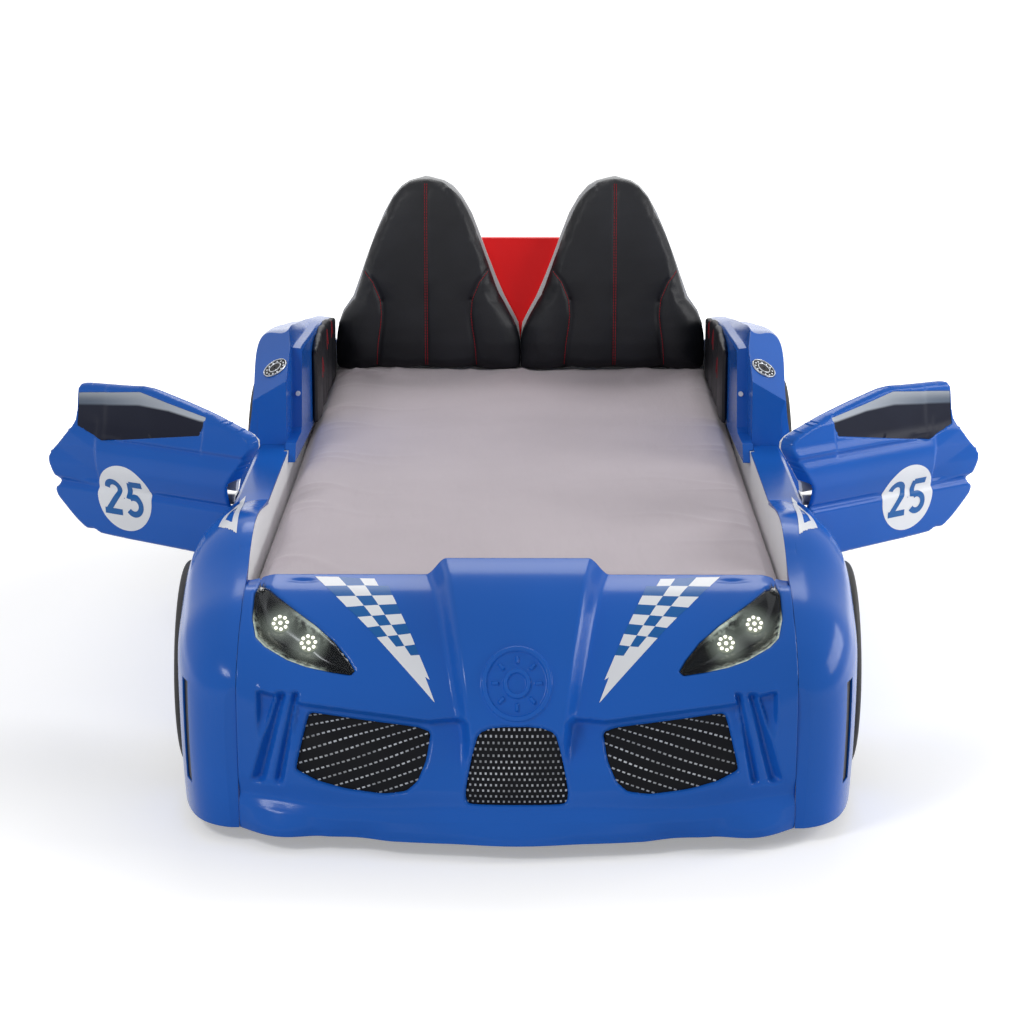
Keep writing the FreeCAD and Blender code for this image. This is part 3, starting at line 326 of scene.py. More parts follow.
FINISH = {
    "body": moulded("blue_gloss", 0.0025),
    "body_fine": moulded("blue_gloss_fine"),
    "board": satin("white_laminate", (0.84, 0.85, 0.86), 0.38, 700.0, 0.05),
    "red": satin("red_laminate", (0.98, 0.009, 0.011), 0.34, 700.0, 0.05),
    "timber": planed_timber(),
    "sheet": woven_sheet(),
    "leather": leather(),
    "thread": satin("red_thread", (0.30, 0.006, 0.016), 0.55, 1500.0, 0.3),
    "black": satin("black_plastic", (0.010, 0.010, 0.012), 0.40),
    "white": satin("white_plastic", (0.78, 0.79, 0.80), 0.42),
    "decal_white": satin("decal_white", (0.78, 0.80, 0.84), 0.25, 1200.0, 0.02),
    "decal_blue": satin("decal_blue", (0.001, 0.105, 0.36), 0.25, 1200.0, 0.02),
    "silver": satin("silver_paint", (0.42, 0.43, 0.45), 0.32, metallic=0.7),
    "steel": satin("zinc_steel", (0.48, 0.49, 0.50), 0.34, metallic=1.0),
    "tyre": tyre_rubber(),
    "rubber": satin("white_rubber", (0.80, 0.80, 0.79), 0.5),
    "mesh": perforated("grille_mesh", 0.0098, 0.0165, 0.0056, 0.0027),
    "mesh_fine": perforated("grille_mesh_fine", 0.0088, 0.0105, 0.0034, 0.0040),
    "window": tinted_window(),
    "badge": badge_metal(),
    "lamp_glow": glow("lamp_glow", (1.0, 0.99, 0.80), 2.4),
    # painted glow: the reflector discs round the lights emit a dim greenish light, standing in for the
    # lights' glow reflected on them
    "lamp_disc": glow("lamp_disc", (0.34, 0.38, 0.29), 0.6),
    "lens": clear_lens(),
}


# ---- pieces

def placed(name, data):
    """An object of some data, in the scene."""
    made = bpy.data.objects.new(name, data)
    bpy.context.scene.collection.objects.link(made)
    return made


def shade_smooth(data):
    data.polygons.foreach_set("use_smooth", np.ones(len(data.polygons), bool))


def piece(name, verts, faces, finish, body=BED, slot="blue_plastic", replaces=(), uv=None, inside=None):
    """A mesh from arrays of points and faces, riding on a body. Its uv is a map's name and a point for
    each vertex, and its faces are turned away from a point inside it."""
    data = bpy.data.meshes.new(name)
    data.from_pydata(np.asarray(verts, float).tolist(), [], [list(map(int, f)) for f in faces])
    data.validate()
    shade_smooth(data)
    if uv is not None:
        map_name, points = uv
        layer = data.uv_layers.new(name=map_name)
        corners = np.zeros(len(data.loops), int)
        data.loops.foreach_get("vertex_index", corners)
        layer.data.foreach_set("uv", np.asarray(points, float)[corners].ravel())
    data.materials.append(FINISH[finish] if isinstance(finish, str) else finish)
    made = placed(name, data)
    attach(made, body)
    if replaces:
        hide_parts(*replaces)
    if inside is not None:
        turn_outward(data, inside)
    return made


def turn_outward(data, inside):
    """Drops loose points, and turns a sheet's faces away from a point inside it."""
    shape = bmesh.new()
    shape.from_mesh(data)
    loose = [v for v in shape.verts if not v.link_faces]
    bmesh.ops.delete(shape, geom=loose, context="VERTS")
    bmesh.ops.recalc_face_normals(shape, faces=shape.faces)
    facing = sum(f.calc_area() * f.normal.dot(f.calc_center_median() - Vector(inside)) for f in shape.faces)
    if facing < 0:
        bmesh.ops.reverse_faces(shape, faces=shape.faces)
    shape.to_mesh(data)
    shape.free()


def applied(made):
    """The piece with its modifiers in its mesh."""
    bpy.context.view_layer.update()
    graph = bpy.context.evaluated_depsgraph_get()
    data = bpy.data.meshes.new_from_object(made.evaluated_get(graph))
    made.modifiers.clear()
    old, made.data = made.data, data
    bpy.data.meshes.remove(old)
    return made


def subdivided(made):
    fine = made.modifiers.new("fine", "SUBSURF")
    fine.levels = fine.render_levels = 1
    applied(made)
    shade_smooth(made.data)


def points_of(made):
    co = np.zeros(len(made.data.vertices) * 3)
    made.data.vertices.foreach_get("co", co)
    return co.reshape(-1, 3)


def set_points(made, co):
    made.data.vertices.foreach_set("co", np.asarray(co, float).ravel())
    made.data.update()


def grid_faces(rows, columns):
    """Quads of a grid whose points run along the columns first."""
    index = np.arange(rows * columns).reshape(rows, columns)
    return np.stack([index[:-1, :-1], index[:-1, 1:], index[1:, 1:], index[1:, :-1]], -1).reshape(-1, 4)


def smooth(share):
    share = np.clip(share, 0.0, 1.0)
    return share * share * (3 - 2 * share)


def outline_distance(points, outline):
    """Signed distance of 2-D points to a closed outline, negative inside, and the nearest outline points."""
    best = np.full(len(points), 1e9)
    nearest = np.array(points, float)
    inside = np.zeros(len(points), bool)
    for start, end in zip(outline, np.roll(outline, -1, 0)):
        run = end - start
        foot = start + np.clip(((points - start) @ run) / (run @ run), 0, 1)[:, None] * run
        gap = np.hypot(*(points - foot).T)
        closer = gap < best
        best[closer], nearest[closer] = gap[closer], foot[closer]
        crosses = (start[1] > points[:, 1]) != (end[1] > points[:, 1])
        with np.errstate(divide="ignore", invalid="ignore"):
            at = start[0] + (points[:, 1] - start[1]) / run[1] * run[0]
        inside ^= crosses & (points[:, 0] < at)
    return np.where(inside, -best, best), nearest


def chosen(faces, flat, keep, cut):
    """The faces whose middles lie inside keep, where there is one, and outside every cut."""
    middle = flat[faces].mean(1)
    wanted = np.ones(len(faces), bool) if keep is None else outline_distance(middle, keep)[0] < 0
    for outline in cut:
        wanted &= outline_distance(middle, outline)[0] > 0
    return faces[wanted]


def trimmed_grid(u, v, near, keep, cut=()):
    """A flat grid whose points near an outline move onto it, less the faces outside keep or inside a cut."""
    flat = np.stack([axis.ravel() for axis in np.meshgrid(u, v)], -1)
    for outline in (keep, *cut):
        gap, nearest = outline_distance(flat, outline)
        close = abs(gap) < near
        flat[close] = nearest[close]
    return flat, chosen(grid_faces(len(v), len(u)), flat, keep, cut)


def rounded_outline(outline, share=0.2):
    """Corner cutting: two passes replace each corner by points a share of its sides away from it."""
    points = np.asarray(outline, float)
    for _ in range(2):
        after = np.roll(points, -1, 0)
        points = np.stack([(1 - share) * points + share * after, share * points + (1 - share) * after], 1)
        points = points.reshape(-1, 2)
    return points


def walled(points, inner, faces):
    """A sheet whose free edges, those that only one face uses, get a wall down to the inner points."""
    edges = np.sort(np.stack([faces, np.roll(faces, -1, 1)], -1).reshape(-1, 2), 1)
    unique, count = np.unique(edges, axis=0, return_counts=True)
    a, b = unique[count == 1].T
    used = np.unique([a, b])
    place = np.full(len(points), -1)
    place[used] = len(points) + np.arange(len(used))
    return np.vstack([points, inner[used]]), np.vstack([faces, np.stack([a, b, place[b], place[a]], -1)])


def polar(r, sectors):
    """Radii and turns of a round grid, its points ring by ring."""
    r, turn = np.meshgrid(r, np.linspace(0, 2 * np.pi, sectors + 1), indexing="ij")
    return r.ravel(), turn.ravel()


def turned_profile(centre, normal, radii, height, sectors):
    """A profile of radii and heights over a centre, turned round a normal."""
    side, up = sideways(normal)
    r, turn = polar(radii, sectors)
    spread = np.outer(r * np.cos(turn), side) + np.outer(r * np.sin(turn), up)
    verts = np.array(centre) + spread + np.outer(np.repeat(height, sectors + 1), normal)
    return verts, grid_faces(len(radii), sectors + 1)


def sideways(normal):
    """Two unit vectors square to a normal and to each other."""
    side = normal.orthogonal().normalized()
    return side, normal.cross(side)


def dome(centre, normal, radius, height, rings, sectors):
    """A low dome: height * (1 - (r / radius) ** 2)."""
    share = np.linspace(0.08, 1, rings)
    return turned_profile(centre, normal, radius * share, height * (1 - share ** 2), sectors)


def raised_ring(centre, normal, inner, outer, height):
    """A flat raised ring: height * (1 - t ** 4), t from -1 at its inner to 1 at its outer radius."""
    t = np.linspace(-1, 1, 7)
    radii = (inner + outer) / 2 + (outer - inner) / 2 * t
    return turned_profile(centre, normal, radii, height * (1 - t ** 4), 48)


def dots_round(centre, normal, distance, count, *dot):
    """Domes on a circle round a centre."""
    side, up = sideways(normal)
    turns = [2 * math.pi * k / count for k in range(count)]
    return [dome(centre + (side * math.cos(t) + up * math.sin(t)) * distance, normal, *dot) for t in turns]


def joined(shapes):
    """One set of points and faces from several."""
    starts = np.cumsum([0] + [len(points) for points, faces in shapes])
    return (np.vstack([points for points, faces in shapes]),
            np.vstack([np.asarray(faces) + start for (points, faces), start in zip(shapes, starts)]))


# ---- the nose's surface

MIDDLE_PROFILE = np.array([(0, 0), (-75, -22), (-150, -70), (-212, -132), (-254, -205), (-276, -280),
                           (-294, -345), (-305, -390)], float)
SIDE_PROFILE = np.array([(0, 0), (-62, -12), (-130, -44), (-190, -86), (-226, -135), (-230, -220),
                         (-226, -315), (-218, -390)], float)
BONNET_REAR, BONNET_EDGE, FASCIA_HALF = -820.0, 420.0, 478.0
LAST_PLACE = len(MIDDLE_PROFILE) - 1
NOSE_INSIDE = (0, -0.6, 0.1)
# Lips near the skirt: (middle of each, half its width, how far it reaches forwards).
LIP = ((0, 120, 8), (270, 60, -8), (415, 85, 27))


def curve_through(points, place):
    """A smooth curve through points: a cubic piece between each two, and mirrored ends."""
    padded = np.vstack([2 * points[0] - points[1], points, 2 * points[-1] - points[-2]])
    place = np.clip(place, 0, len(points) - 1 - 1e-9)
    k = place.astype(int)
    f = (place - k)[..., None]
    a, b, c, d = (padded[k + i] for i in range(4))
    bend, twist = 2 * a - 5 * b + 4 * c - d, 3 * b - a - 3 * c + d
    return 0.5 * (2 * b + (c - a) * f + bend * f ** 2 + twist * f ** 3)


def nose_profile(x, place):
    """Y and Z in mm at x and a place down the profile: the middle and side profiles mixed by
    (|x| / half width) ** 2.2, less a drop at the corners and plus the lips near the skirt."""
    share = (np.clip(abs(x) / FASCIA_HALF, 0, 1) ** 2.2)[..., None]
    profile = curve_through(MIDDLE_PROFILE, place) * (1 - share) + curve_through(SIDE_PROFILE, place) * share
    lip = sum(reach * np.clip(1 - ((abs(x) - middle) / half) ** 2, 0, 1) ** 2 for middle, half, reach in LIP)
    corner = 11 * smooth((abs(x) - 425) / 53) * smooth(1 - place)
    return profile[..., 0] - lip * smooth(place - 6), profile[..., 1] - corner


def nose_surface(x, place, out=0.0):
    """Points of the nose in mm: the profile, moved along its normal by the raised middle and by out."""
    step = 0.02
    y, z = nose_profile(x, place)
    y0, z0 = nose_profile(x, np.maximum(place - step, 0))
    y1, z1 = nose_profile(x, np.minimum(place + step, LAST_PLACE))
    length = np.hypot(y1 - y0, z1 - z0)
    out_y, out_z = (z1 - z0) / length, (y0 - y1) / length
    share = np.minimum(1, place / 4.3)
    edge = (250 * (1 - share) + 144 * share) / 2
    slope = 38 + (24 - 38) * share
    fading = 16 * np.clip(1 - (place - 4.3) / 1.5, 0, 1)
    rise = np.where(place <= 4.3, 34 * (1 - share) ** 0.6 + 16 * share, fading)
    reach = rise * smooth((edge + slope - abs(x)) / slope) + out
    return np.stack([x, BONNET_REAR + y + out_y * reach, BONNET_EDGE + z + out_z * reach], -1)


MOUTH_LIP = np.array([(60, 236), (81, 237), (120, 236), (149, 233), (260, 247), (364, 260), (410, 274),
                      (434, 280), (478, 282)], float)
HEADLIGHT = np.array([(454, 412), (459, 405), (458, 378), (449, 354), (433, 342), (393, 323), (360, 313),
                      (320, 305), (284, 300), (277, 306), (288, 321), (313, 345), (347, 367), (393, 390),
                      (436, 410)], float)
SIDE_MOUTH = rounded_outline([(349, 244), (146, 221), (154, 167), (169, 132), (188, 115), (227, 109),
                              (293, 115), (342, 126), (377, 143), (375, 157), (356, 238)], 0.12)
MIDDLE_MOUTH = rounded_outline([(62, 230), (76, 180), (87, 120), (86, 102), (78, 95), (-78, 95), (-86, 102),
                                (-87, 120), (-76, 180), (-62, 230)])
ROLL = 7.0


# The upright groove with its rib: (share of its width, outwards from the middle, depth).
GROOVE = np.array([(0, 0), (0.08, 13), (0.18, 18), (0.28, 8), (0.36, 4), (0.48, 4), (0.58, 8), (0.66, 19),
                   (0.76, 18), (0.90, 8), (1, 0)])


MOUTHS = [SIDE_MOUTH, SIDE_MOUTH * (-1, 1), MIDDLE_MOUTH]
LAMPS = [HEADLIGHT, HEADLIGHT * (-1, 1)]


def nose_relief(x, place):
    """How far the skin stands out, in mm: a shelf under the lip over the mouths, an upright groove
    beside each of them, a step above the bumper's lower lip and dimples at the bonnet's rear corners."""
    point = nose_surface(x, place)
    a, z = abs(x), point[..., 2]
    low = smooth((place - 2.6) / 0.5)
    under = np.interp(a, MOUTH_LIP[:, 0], MOUTH_LIP[:, 1]) - z
    shelf = smooth((a - 78) / 16) * (1 - smooth((a - 436) / 10))
    relief = 3.0 * np.exp(-(under / 9) ** 2) * shelf * low
    relief = relief - 17.0 * smooth((under + 1) / 7) * (1 - smooth((under - 30) / 60)) * shelf * low
    down = (265 - z) / 140
    right, left = 371 + 25 * down, 415 + 41 * down
    across = (a - right) / (left - right)
    groove = smooth((across + 0.02) / 0.1) * smooth((1.02 - across) / 0.1)
    groove = groove * smooth((z - 112) / 14) * (1 - smooth((z - 272) / 8))
    relief = relief * (1 - groove) - np.interp(across, GROOVE[:, 0], GROOVE[:, 1]) * groove * low
    relief = relief - 3.0 * np.exp(-((a - 378) / 20) ** 2 - ((place - 0.34) / 0.10) ** 2)
    crease = np.interp(a, [0, 147, 293, 477], [78, 78, 73, 85])
    step = smooth((crease - z) / 14) * smooth((z - 28) / 20)
    hollow = smooth((z - crease + 4) / 14) * (1 - smooth((z - crease - 10) / 34))
    return relief + (3.0 * step - 4.0 * hollow) * low


def skin_point(x, place, out=0.0):
    """The nose's skin in metres, with its relief."""
    return nose_surface(x, place, nose_relief(x, place) + out) * MM


def trimmed_nose(spacing, keep=None, cut=()):
    """A grid on the nose, its points near an outline moved onto it, less the faces outside keep or
    inside cut."""
    columns = int(2 * FASCIA_HALF / spacing) + 1
    rows = int(LAST_PLACE * 100 / spacing) + 1
    x, place = np.meshgrid(np.linspace(-FASCIA_HALF, FASCIA_HALF, columns), np.linspace(0, LAST_PLACE, rows))
    x, place = x.ravel(), place.ravel()
    flat = nose_surface(x, place)[:, [0, 2]]
    after, before = np.minimum(place + 0.01, LAST_PLACE), np.maximum(place - 0.01, 0)
    slope = (nose_surface(x, after)[:, 2] - nose_surface(x, before)[:, 2]) / (after - before)
    for outline in list(cut) + ([keep] if keep is not None else []):
        gap, nearest = outline_distance(flat, outline)
        near = abs(gap) < spacing * 0.62
        x[near] = nearest[near, 0]
        place[near] = place[near] + (nearest[near, 1] - flat[near, 1]) / slope[near]
        place = np.clip(place, 0, LAST_PLACE)
        flat = nose_surface(x, place)[:, [0, 2]]
    return x, place, chosen(grid_faces(rows, columns), flat, keep, cut)


def roll_in(x, place, outlines):
    """Depth in mm of a quarter-round roll of radius ROLL into the outlines."""
    flat = nose_surface(x, place)[:, [0, 2]]
    depth = np.zeros(len(x))
    for outline in outlines:
        gap = np.clip(outline_distance(flat, outline)[0], 0, ROLL)
        depth = np.maximum(depth, ROLL * (1 - np.sqrt(1 - (1 - gap / ROLL) ** 2)))
    return depth


def make_fascia():
    """The nose's skin, 7 mm thick at its edges, with rolled mouths and slightly rolled lamp openings."""
    x, place, faces = trimmed_nose(3.0, cut=MOUTHS + LAMPS)
    depth = roll_in(x, place, MOUTHS) + 0.35 * roll_in(x, place, LAMPS)
    piece("nose_skin", *walled(skin_point(x, place, -depth), skin_point(x, place, -depth - 7), faces),
          "body_fine", replaces=["front_fascia"], inside=NOSE_INSIDE)


def grown_outline(outline, distance):
    """An outline moved outwards from its middle by about a distance."""
    away = outline - outline.mean(0)
    return outline.mean(0) + away * (1 + distance / np.hypot(*away.T))[:, None]


def make_grille(name, outline, turn):
    """A mesh behind a mouth; its pattern's rows are turned by an angle."""
    x, place, faces = trimmed_nose(7.0, keep=grown_outline(outline, 5))
    u, v = x * MM, place * -0.078
    turned = np.stack([u * math.cos(turn) + v * math.sin(turn), v * math.cos(turn) - u * math.sin(turn)], -1)
    piece("mouth_mesh_" + name, skin_point(x, place, -10), faces, "mesh" if turn else "mesh_fine",
          slot="black_mesh", replaces=["grille_mesh_" + name], uv=("mesh", turned), inside=NOSE_INSIDE)


# The two lights of a lamp: (across from the middle, place down the nose), 20 mm under the skin.
LIGHT_PLACES = ((411, 1.76), (360, 2.24))


def make_headlights(name, side):
    """A clear lens, a bowl that deepens from 4.5 mm at its edge to 28 mm, and two rings of lights in it."""
    inside = (side * 0.3, -0.6, 0.1)
    outline = HEADLIGHT * (side, 1)
    x, place, faces = trimmed_nose(4.0, keep=grown_outline(outline, -1.2))
    lens = walled(skin_point(x, place, -0.6), skin_point(x, place, -2.4), faces)
    piece("headlight_glass_" + name, *lens, "lens", slot="lamp_lens", replaces=["headlight_lens_" + name],
          inside=inside)
    x, place, faces = trimmed_nose(3.0, keep=grown_outline(outline, 2.5))
    flat = nose_surface(x, place)[:, [0, 2]]
    depth_in = -outline_distance(flat, outline)[0]
    bowl = skin_point(x, place, -(4.5 + 23.5 * smooth(depth_in / 26) ** 0.8))
    # where the housing's painted highlight and glints show: the lamp's outer, lower part
    highlight_share = smooth((abs(flat[:, 0]) - 318) / 30) * smooth((392 - flat[:, 1]) / 20)
    lamps = [(np.array([side * across]), np.array([down])) for across, down in LIGHT_PLACES]
    centres = [skin_point(*lamp, -20)[0] for lamp in lamps]
    finish = lit_housing("lit_housing_" + name, [c.tolist() for c in centres])
    piece("headlight_bowl_" + name, bowl, faces, finish, slot="black_plastic",
          replaces=["headlight_housing_" + name], inside=inside,
          uv=("lamp", np.stack([np.maximum(depth_in, 0) * MM, highlight_share], -1)))
    discs, dots = [], []
    for lamp, centre in zip(lamps, centres):
        out = Vector(skin_point(*lamp)[0] - centre).normalized()
        normal = Vector(out + Vector((0, -0.75, 0.12))).normalized()
        discs.append(dome(centre, normal, 0.0165, 0.002, 5, 24))
        dots += dots_round(Vector(centre) + normal * 0.004, normal, 0.0118, 8, 0.0031, 0.0022, 4, 10)
        dots.append(dome(Vector(centre) + normal * 0.0045, normal, 0.0036, 0.0022, 4, 10))
    # the reflector discs carry a painted glow, not a light of their own
    piece("lamp_reflectors_" + name, *joined(discs), "lamp_disc", slot="light_diffuser")
    piece("lamp_dots_" + name, *joined(dots), "lamp_glow", slot="light_diffuser",
          replaces=["light_modules_" + name])


# The chequered band's lines, from its outer to its inner edge: (across from the middle, place down the
# nose) at each row's edge, and its pointed tip.
CHECK_LINES = np.array([
    [(357.5, 0.13), (337.5, 0.636), (316.7, 1.048), (296.9, 1.367), (276.6, 1.625), (258.2, 1.874),
     (241.6, 2.111), (226.8, 2.316), (212.5, 2.508)],
    [(316.0, 0.146), (299.9, 0.597), (282.3, 1.013), (267.0, 1.307), (252.1, 1.573), (237.8, 1.817),
     (223.5, 2.061), (207.9, 2.299), (195.6, 2.493)],
    [(278.4, 0.209), (268.0, 0.57), (254.2, 0.982), (241.6, 1.268), (229.5, 1.531), (217.5, 1.779),
     (205.7, 2.019), (193.7, 2.27), (182.2, 2.482)],
    [(233.8, 0.223), (226.8, 0.573), (218.3, 0.95), (209.9, 1.224), (201.4, 1.488), (192.7, 1.726),
     (183.9, 1.968), (175.7, 2.225), (168.1, 2.457)]])
CHECK_WHITE = ("0-2", "-1-", "0-2", "-1-", "0-2", "-1-", "0-2", "01-")
CHECK_TIP = (((212.5, 2.508), (168.1, 2.457), (171.7, 3.045), (156.6, 2.933)),
             ((171.7, 3.045), (156.6, 2.933), (140.7, 3.455), (140.2, 3.45)),
             ((168.1, 2.457), (167.6, 2.46), (156.6, 2.933), (149.1, 2.987)))


def check_patch(corners, side):
    """A patch of the band between four corners (x, place), laid just over the skin."""
    corners = np.asarray(corners, float)
    v, u = np.meshgrid(np.linspace(0, 1, 9), np.linspace(0, 1, 9), indexing="ij")
    v, u = v.ravel()[:, None], u.ravel()[:, None]
    spread = (corners[0] * (1 - u) + corners[1] * u) * (1 - v) + (corners[2] * (1 - u) + corners[3] * u) * v
    return skin_point(spread[:, 0] * side, spread[:, 1], 0.35), grid_faces(9, 9)


def make_checks(name, side):
    cells = {"decal_white": [check_patch(corners, side) for corners in CHECK_TIP], "decal_blue": []}
    for row in range(8):
        for column in range(3):
            outer, inner = (CHECK_LINES[column + i, row:row + 2] for i in (0, 1))
            if (row, column) == (0, 2):
                inner = outer * 0.42 + inner * 0.58
            kind = "decal_white" if str(column) in CHECK_WHITE[row] else "decal_blue"
            cells[kind].append(check_patch((outer[0], inner[0], outer[1], inner[1]), side))
    for kind, shapes in cells.items():
        piece("bonnet_%s_%s" % (kind, name), *joined(shapes), kind, inside=NOSE_INSIDE)


def make_bonnet_badge():
    """A plain raised dial: an outer ring, an inner ring and eight short ticks between them."""
    r, turn = polar(np.linspace(0.5, 66, 70), 216)
    u, v = r * np.sin(turn), r * np.cos(turn)
    ring = smooth((r - 50) / 3) * (1 - smooth((r - 58) / 3))
    inner = smooth((r - 15) / 2.5) * (1 - smooth((r - 22) / 2.5))
    off = abs((turn * 4 / np.pi + 0.5) % 1 - 0.5) * np.pi / 4 * r
    tick = smooth((4.0 - off) / 2.5) * smooth((r - 30) / 2.5) * (1 - smooth((r - 42) / 2.5))
    height = 0.2 + 5.0 * np.maximum(np.maximum(ring, inner), tick)
    height = height * (1 - smooth((r - 61) / 4)) + 0.15
    dial = skin_point(u, 3.12 - v / 84.0, height)
    piece("bonnet_badge", dial, grid_faces(70, 217), "body_fine", inside=NOSE_INSIDE)


# ---- signs on the fenders

# Plan of the hollow sign on each front fender's rear end, and its hole: (across, along the bed).
ARROW = np.array([(527, -376), (523, -440), (508, -712), (546, -668), (542, -560), (536, -440)], float)
ARROW_HOLE = np.array([(529, -500), (521, -668), (536, -640), (535, -525)], float)


def make_fender_signs(name, side):
    """The sign dropped from above onto the fender and the sill, and held 0.6 mm over the higher of them."""
    flat, faces = trimmed_grid(np.arange(500, 556, 2.0), np.arange(-716, -370, 4.0), 1.3, ARROW, [ARROW_HOLE])
    used = np.unique(faces)
    renumber = np.zeros(len(flat), int)
    renumber[used] = np.arange(len(used))
    graph = bpy.context.evaluated_depsgraph_get()
    trees = [BVHTree.FromObject(NODES[node + name], graph) for node in ("front_fender_", "sill_cover_")]
    laid = []
    for x, y in flat[used] * (side, 1) * MM:
        hits = [tree.ray_cast(Vector((x, y, 1.0)), Vector((0, 0, -1)))[0] for tree in trees]
        laid.append((x, y, max([hit.z for hit in hits if hit is not None] + [0.40]) + 0.0006))
    piece("fender_sign_" + name, laid, renumber[faces], "decal_white",
          inside=(0, -0.55, 0.1))


def make_fender_badges(name, side):
    """A plain black disc with two rings and twelve dots between them."""
    normal = Vector((side * 0.45, -0.35, 0.82)).normalized()
    base = Vector((side * 0.515, 0.150, 0.5958)) + normal * 0.0006
    piece("fender_badge_" + name, *dome(base, normal, 0.028, 0.0022, 8, 48), "black")
    shapes = dots_round(base + normal * 0.001, normal, 0.0203, 12, 0.0022, 0.0016, 3, 8)
    shapes.append(raised_ring(base, normal, 0.0255, 0.0275, 0.0030))
    shapes.append(raised_ring(base, normal, 0.0125, 0.0150, 0.0034))
    piece("fender_badge_rings_" + name, *joined(shapes), "badge")


# ---- doors

HINGE = np.array([575.0, -335.6])
OPEN = {"left": 59.0, "right": 54.0}
DOOR_SKIN = 600.0
PANEL_FACE = 573.0
DOOR_SECTION = np.array([(-14, 660), (-8, 620), (-3, 575), (0, 553), (6, 535), (10, 505), (8, 465), (0, 430),
                         (-2, 424), (3, 418), (0, 370), (-8, 300)], float)[::-1]
DOOR_OUTLINE = np.array([(-32, 320), (57, 320), (297, 325), (315, 334), (336, 332), (361, 351), (403, 393),
                         (408, 408), (396, 422), (408, 441), (417, 480), (349, 551), (347, 621), (339, 630),
                         (229, 635), (188, 638), (158, 636), (75, 618), (12, 602), (-50, 582), (-74, 573),
                         (-87, 562), (-88, 546), (-53, 496), (-36, 470), (-32, 446)], float)
WINDOW = np.array([(341, 547), (341, 612), (184, 630), (110, 615), (18, 598), (34, 561), (275, 524)], float)


DOOR_EDGE = rounded_outline(DOOR_OUTLINE, 0.14)
SECTION_Z = np.arange(280.0, 690.0)
BLUR = np.exp(-0.5 * (np.arange(-12, 13) / 4.0) ** 2)
SECTION_X = np.convolve(np.pad(np.interp(SECTION_Z, DOOR_SECTION[:, 1], DOOR_SECTION[:, 0]), 12, mode="edge"),
                        BLUR / BLUR.sum(), mode="valid")


def door_face(u, z, out=0.0):
    """Distance in mm from the bed's middle of a closed door's skin. Its section at z, smoothed, with a
    barrel 5 sin(pi t) under the window, a raised frame and sail over a fine line, a crease that fades
    beside the roundel, and two facets meeting at a fold at the rear."""
    fore = 1 - smooth((u - 264) / 14)
    barrel = 5.0 * np.sin(np.pi * np.clip((z - 430) / 94, 0, 1)) * (1 - smooth((u - 284) / 12))
    rear = smooth((u - 286) / 12) * smooth((z - 432) / 7) * (1 - smooth((z - 548) / 30))
    facet = -10.0 + 0.075 * (u - 290) + 0.13 * np.minimum(abs(z - 455 - 0.5 * (u - 300)), 50)
    frame = 3.0 * smooth((z - 529) / 4) * fore
    line = 3.5 * np.exp(-((z - 526) / 3.5) ** 2) * fore * smooth((u - 26) / 4)
    sail = 3.5 * (1 - smooth((u - 22) / 5)) * smooth((z - 530) / 5) * (1 - smooth((z - 586) / 14))
    crease = 4.0 * np.exp(-((z - 426) / 5) ** 2) * (1 - np.exp(-((u - 225) / 72) ** 4))
    section = DOOR_SKIN + np.interp(z, SECTION_Z, SECTION_X)
    return section + barrel + rear * facet + frame - line + sail - crease + out


def make_door_skin(name, side):
    """The door's outer skin: a grid on door_face, rolled in by a quarter circle at its outline. It is
    thin over the hinge, and reaches back to the inner panel elsewhere."""
    flat, faces = trimmed_grid(np.arange(-92, 424, 3.2), np.arange(316, 644, 3.2), 1.92, DOOR_EDGE, [WINDOW])
    u, z = flat.T
    inside = np.clip(-outline_distance(flat, DOOR_EDGE)[0], 0, 8) / 8
    roll = (3 + 5 * smooth((u - 14) / 30)) * (1 - np.sqrt(1 - (1 - inside) ** 2))
    face = door_face(u, z, -roll)
    back = np.where((u < 20) & (z < 480), face - 2.5, PANEL_FACE)
    sheet = walled(opened(name, side, u, z, face), opened(name, side, u, z, back), faces)
    piece("door_skin_" + name, *sheet, "body_fine", "door_" + name, replaces=["door_shell_" + name],
          inside=door_inside(name, side, 180.0, 470.0))


def opened(name, side, u, z, x):
    """Points in metres of the open door, from its own u back from the hinge, height z and reach x."""
    angle = math.radians(OPEN[name])
    across, back = x - HINGE[0], u
    turned = across * math.cos(angle) + back * math.sin(angle)
    along = -across * math.sin(angle) + back * math.cos(angle)
    return np.stack([side * (HINGE[0] + turned), HINGE[1] + along, z], -1) * MM


def door_inside(name, side, u, z):
    """A point in the bed's direction behind the open door."""
    return opened(name, side, *np.array([[u], [z], [500.0]]))[0]


def stroke(path, width):
    """A flat ribbon along a path, in its own plane: nine offsets of up to half a width either side of it."""
    run = np.gradient(path, axis=0)
    run = run / np.hypot(*run.T)[:, None]
    side = np.stack([-run[:, 1], run[:, 0]], -1)
    offsets = np.linspace(-width / 2, width / 2, 9)
    return (path[:, None] + side[:, None] * offsets[None, :, None]).reshape(-1, 2), grid_faces(len(path), 9)


def resampled(path, step):
    """A polyline with a point about every step."""
    path = np.asarray(path, float)
    lengths = np.concatenate([[0], np.cumsum(np.hypot(*np.diff(path, axis=0).T))])
    at = np.linspace(0, lengths[-1], max(2, int(lengths[-1] / step) + 1))
    return np.stack([np.interp(at, lengths, path[:, k]) for k in (0, 1)], -1)


def arc(centre, radius, start, end, count):
    turn = np.radians(np.linspace(start, end, count))
    return [(centre[0] + radius * math.cos(t), centre[1] + radius * math.sin(t)) for t in turn]


def digit_two(h):
    top = arc((0.30 * h, 0.70 * h), 0.215 * h, 172, -32, 20)
    return [resampled(top + [(0.10 * h, 0.09 * h)], 2.0),
            resampled([(0.0, 0.09 * h), (0.60 * h, 0.09 * h)], 4.0)]


